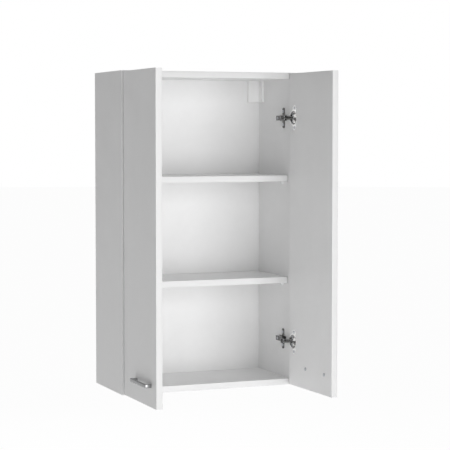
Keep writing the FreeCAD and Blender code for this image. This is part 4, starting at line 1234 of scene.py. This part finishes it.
@dataclass
class Door:
    """Door board, bands, handle, and the screws in it.

    Attributes:
        plan: the door side.
        reveal: side panel's outer face to the door's hinge edge.
        gap: closed door to the carcass front.
        mid_gap: gap between the closed doors.
        end_gap: door end to the carcass end.
        handle_inset: door's free edge to the nearer handle screw.
        handle_pitch: handle screw pitch.
        handle_level: height of the handle.
        handle_leg: width of a handle leg.
        handle_rise: handle's outer face above the door.
        handle_bar: thickness of the handle's bar.
        handle_tall: height of the handle's section.
        handle_bend: radius of the bow's outer corners.
        handle_tight: radius of its inner corners.
        handle_foot: radius where a leg meets the door.
        handle_rim: radius of its upper and lower rims.
        cup_screw_u: cup screws in the plan frame.
        cup_pitch: cup screw pitch.
        hinge_level: hinge height from the nearer carcass end.
        flange: thickness of the cup's flange.
        banding: the edge bands.
        handle_screw: holds the handle.
        cup_screw: holds a hinge cup.
    """

    plan: DoorPlan
    reveal: float = 1 * MM
    gap: float = 2 * MM
    mid_gap: float = 2 * MM
    end_gap: float = 2 * MM
    handle_inset: float = 37 * MM
    handle_pitch: float = 96 * MM
    handle_level: float = 51 * MM
    handle_leg: float = 9 * MM
    handle_rise: float = 15 * MM
    handle_bar: float = 4 * MM
    handle_tall: float = 8 * MM
    handle_bend: float = 1.4 * MM
    handle_tight: float = 1.0 * MM
    handle_foot: float = 0.5 * MM
    handle_rim: float = 0.4 * MM
    cup_screw_u: float = 29.5 * MM
    cup_pitch: float = 48 * MM
    hinge_level: float = 110 * MM
    flange: float = 1.2 * MM
    banding: EdgeBanding = field(default_factory=EdgeBanding)
    handle_screw: Screw = Screw(4.2 * MM, 2.4 * MM, 2.0 * MM, 23 * MM, Drive.CROSS, 0.7 * MM)
    cup_screw: Screw = Screw(3.6 * MM, 1.4 * MM, 1.75 * MM, 12.2 * MM, Drive.POINTED_CROSS, 1.6 * MM)

    @property
    def height(self) -> float:
        """Carcass height."""
        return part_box("left_side_panel")[1].z

    @property
    def far(self) -> float:
        """The door's free edge in the plan frame."""
        return (self.plan.width - self.mid_gap) / 2

    def bands(self) -> None:
        """Bands round the four edges; the upright ones run full height and the level ones stand between them.

        An upright band's cross-section lies in the plan; a level one's in the door's own side view.
        """
        place = self.plan.door()
        thick = self.banding.thick
        low, high = self.end_gap, self.height - self.end_gap
        board = self.plan.board
        shell = Shell()
        for u, sign in ((self.reveal + thick, -1), (self.far - thick, 1)):
            out = tuple(sign * c for c in place.right)
            strip = Placing(place.shifted(u, low, self.gap).origin, place.out, out, place.up)
            self.banding.strip(shell, board, high - low, strip)
        for z, sign in ((low + thick, -1), (high - thick, 1)):
            out = tuple(sign * c for c in place.up)
            start = place.shifted(self.reveal + thick, z, self.gap).origin
            strip = Placing(start, place.out, out, place.right)
            self.banding.strip(shell, board, self.far - self.reveal - 2 * thick, strip)
        name = self.plan.side.word
        finish_piece(shell.to_object(name + "_door_bands"), Look.BAND, self.plan.door_body,
                     name + "_door_edge_bands")

    def handle_us(self) -> tuple[float, float]:
        """Both handle screws in the plan frame."""
        near = self.far - self.handle_inset
        return near - self.handle_pitch, near

    def handle(self) -> None:
        """The bow: a side view with a rounded bar and two legs, carried over its height with soft rims."""
        outer = self.gap + self.plan.board
        top = outer + self.handle_rise
        under = top - self.handle_bar
        leg = self.handle_leg / 2
        a, b = self.handle_us()
        corners = [(a - leg, outer), (a + leg, outer), (a + leg, under), (b - leg, under), (b - leg, outer),
                   (b + leg, outer), (b + leg, top), (a - leg, top)]
        bend, tight, foot = self.handle_bend, self.handle_tight, self.handle_foot
        outline = rounded_outline(corners, [foot, foot, tight, tight, foot, foot, bend, bend], 7)
        half = self.handle_tall / 2
        place = self.plan.door()
        upright = Placing(place.shifted(y=self.handle_level).origin, place.right, place.out, place.up)
        shell = Shell()
        shell.add_rings(prism_rings(outline, -half, half, self.handle_rim, 4), upright)
        name = self.plan.side.word
        bow = shell.to_object(name + "_bow_handle")
        finish_piece(bow, Look.HANDLE, self.plan.door_body, name + "_handle")

    def screws(self) -> None:
        """Handle screws through the board and cup screws through the flanges."""
        place = self.plan.door()
        name = self.plan.side.word
        levels = (self.hinge_level, self.height - self.hinge_level)
        rim = self.gap - self.flange
        in_handle = [facing_back(place, (u, self.handle_level, self.gap)) for u in self.handle_us()]
        in_cups = [facing_back(place, (self.cup_screw_u, z + sign * self.cup_pitch / 2, rim))
                   for z in levels for sign in (-1, 1)]
        kinds = (("handle", self.handle_screw, in_handle), ("cup", self.cup_screw, in_cups))
        for part, screw, spots in kinds:
            screws = screws_object(f"{name}_{part}_fixings", (screw, spots))
            finish_piece(screws, Look.SCREW, self.plan.door_body, f"{name}_{part}_screws")

    def build(self) -> None:
        """Make the door."""
        dress_node(self.plan.side.word + "_door_panel", Look.BOARD)
        self.bands()
        self.handle()
        self.screws()


# ------------------------------------------------------------------ studio

@dataclass
class Studio:
    """Camera, floor and light.

    Attributes:
        camera_at: camera position.
        yaw: degrees turned from +Y towards +X.
        pitch: degrees looking down.
        lens: focal length in millimetres on a 36 mm sensor.
        floor_level: height of the floor.
        ambient: brightness of the surrounding light.
        glow: brightness that the floor gives off.
        fade: how far the floor fades into the white surround where it is seen.
        floor_radius: where the floor ends.
        aim: the point that the soft lights look at.
        lights: name, position, size and power of each soft light.
    """

    camera_at: Point = (-1.403, -3.735, 0.624)
    yaw: float = 22.2
    pitch: float = 3.38
    lens: float = 126.3
    floor_level: float = -0.9
    ambient: float = 0.11
    glow: float = 0.5
    fade: float = 0.94
    floor_radius: float = 40.0
    aim: Point = (0.0, -0.15, 0.4)
    lights: tuple[tuple[str, Point, float, float], ...] = (
        ("front_softbox", (0.4, -4.25, 0.55), 2.9, 86.0),
        ("left_softbox", (-3.4, 0.5, 0.9), 1.6, 7.0),
        ("top_softbox", (0.0, 0.5, 4.0), 2.4, 42.0),
        ("rear_softbox", (0.9, 4.2, 1.4), 2.0, 26.0),
    )

    def camera(self) -> None:
        """Place the camera."""
        data = bpy.data.cameras.new("camera")
        data.lens = self.lens
        data.sensor_width = 36.0
        data.clip_end = 200.0
        item = bpy.data.objects.new("camera", data)
        item.location = self.camera_at
        item.rotation_euler = (math.radians(90 - self.pitch), 0.0, math.radians(-self.yaw))
        bpy.context.scene.collection.objects.link(item)
        bpy.context.scene.camera = item

    def floor(self) -> None:
        """A plain pale floor, one disc with its rim far away."""
        shell = Shell()
        rings = turned_rings([(self.floor_radius, self.floor_level), (0.5, self.floor_level)], 64)
        shell.add_rings(rings, cap_first=False)
        item = shell.to_object("floor")
        floor = Finish("pale_floor", (0.92, 0.92, 0.92), rough=0.9, tone_spread=0.004, cloud_scale=0.4,
                       grain_scale=200.0).material()
        graph = Graph(floor.node_tree)
        shader = graph.tree.nodes["Principled BSDF"]
        shader.inputs["Specular IOR Level"].default_value = 0.1
        shader.inputs["Emission Color"].default_value = WHITE
        shader.inputs["Emission Strength"].default_value = self.glow
        white = graph.add("Emission", Color=WHITE, Strength=1.0)
        seen = graph.maths("MULTIPLY", graph.add("LightPath").outputs["Is Camera Ray"], self.fade)
        mixed = graph.add("MixShader", Fac=seen, i1=shader.outputs[0], i2=white.outputs[0])
        graph.feed(graph.tree.nodes["Material Output"], "Surface", mixed.outputs[0])
        item.data.materials.append(floor)

    def surround(self) -> None:
        """A white surround: bright behind the object, softer as light."""
        world = bpy.data.worlds.new("studio")
        world.use_nodes = True
        graph = Graph(world.node_tree)
        soft = graph.tree.nodes["Background"]
        soft.inputs["Color"].default_value = WHITE
        soft.inputs["Strength"].default_value = self.ambient
        bright = graph.add("Background", Color=WHITE, Strength=1.0)
        seen = graph.add("LightPath").outputs["Is Camera Ray"]
        mixed = graph.add("MixShader", Fac=seen, i1=soft.outputs[0], i2=bright.outputs[0])
        graph.feed(graph.tree.nodes["World Output"], "Surface", mixed.outputs[0])
        bpy.context.scene.world = world

    def softbox(self, name: str, at: Point, size: float, power: float) -> None:
        """Place a square soft light that looks at the middle of the cabinet.

        Args:
            name: the light's name.
            at: its position.
            size: its side.
            power: its power in watts.
        """
        data = bpy.data.lights.new(name, "AREA")
        data.size = size
        data.energy = power
        item = bpy.data.objects.new(name, data)
        item.location = at
        item.rotation_euler = (Vector(self.aim) - Vector(at)).to_track_quat("-Z", "Y").to_euler()
        bpy.context.scene.collection.objects.link(item)

    def build(self) -> None:
        """Set up the studio."""
        bpy.context.scene.view_settings.view_transform = "Standard"
        self.camera()
        self.floor()
        self.surround()
        for name, at, size, power in self.lights:
            self.softbox(name, at, size, power)


def main() -> None:
    """Build the cabinet's looks, piece by piece."""
    logging.basicConfig(level=logging.INFO, format="%(name)s: %(message)s")
    Studio().build()
    plans = [DoorPlan(Side.LEFT, 90.0), DoorPlan(Side.RIGHT, 92.0)]
    Carcass().build()
    WallHangers().build()
    for plan in plans:
        HingeSet(plan).build()
        Door(plan).build()
    HingeScrews().build(plans)


if __name__ == "__main__":
    main()
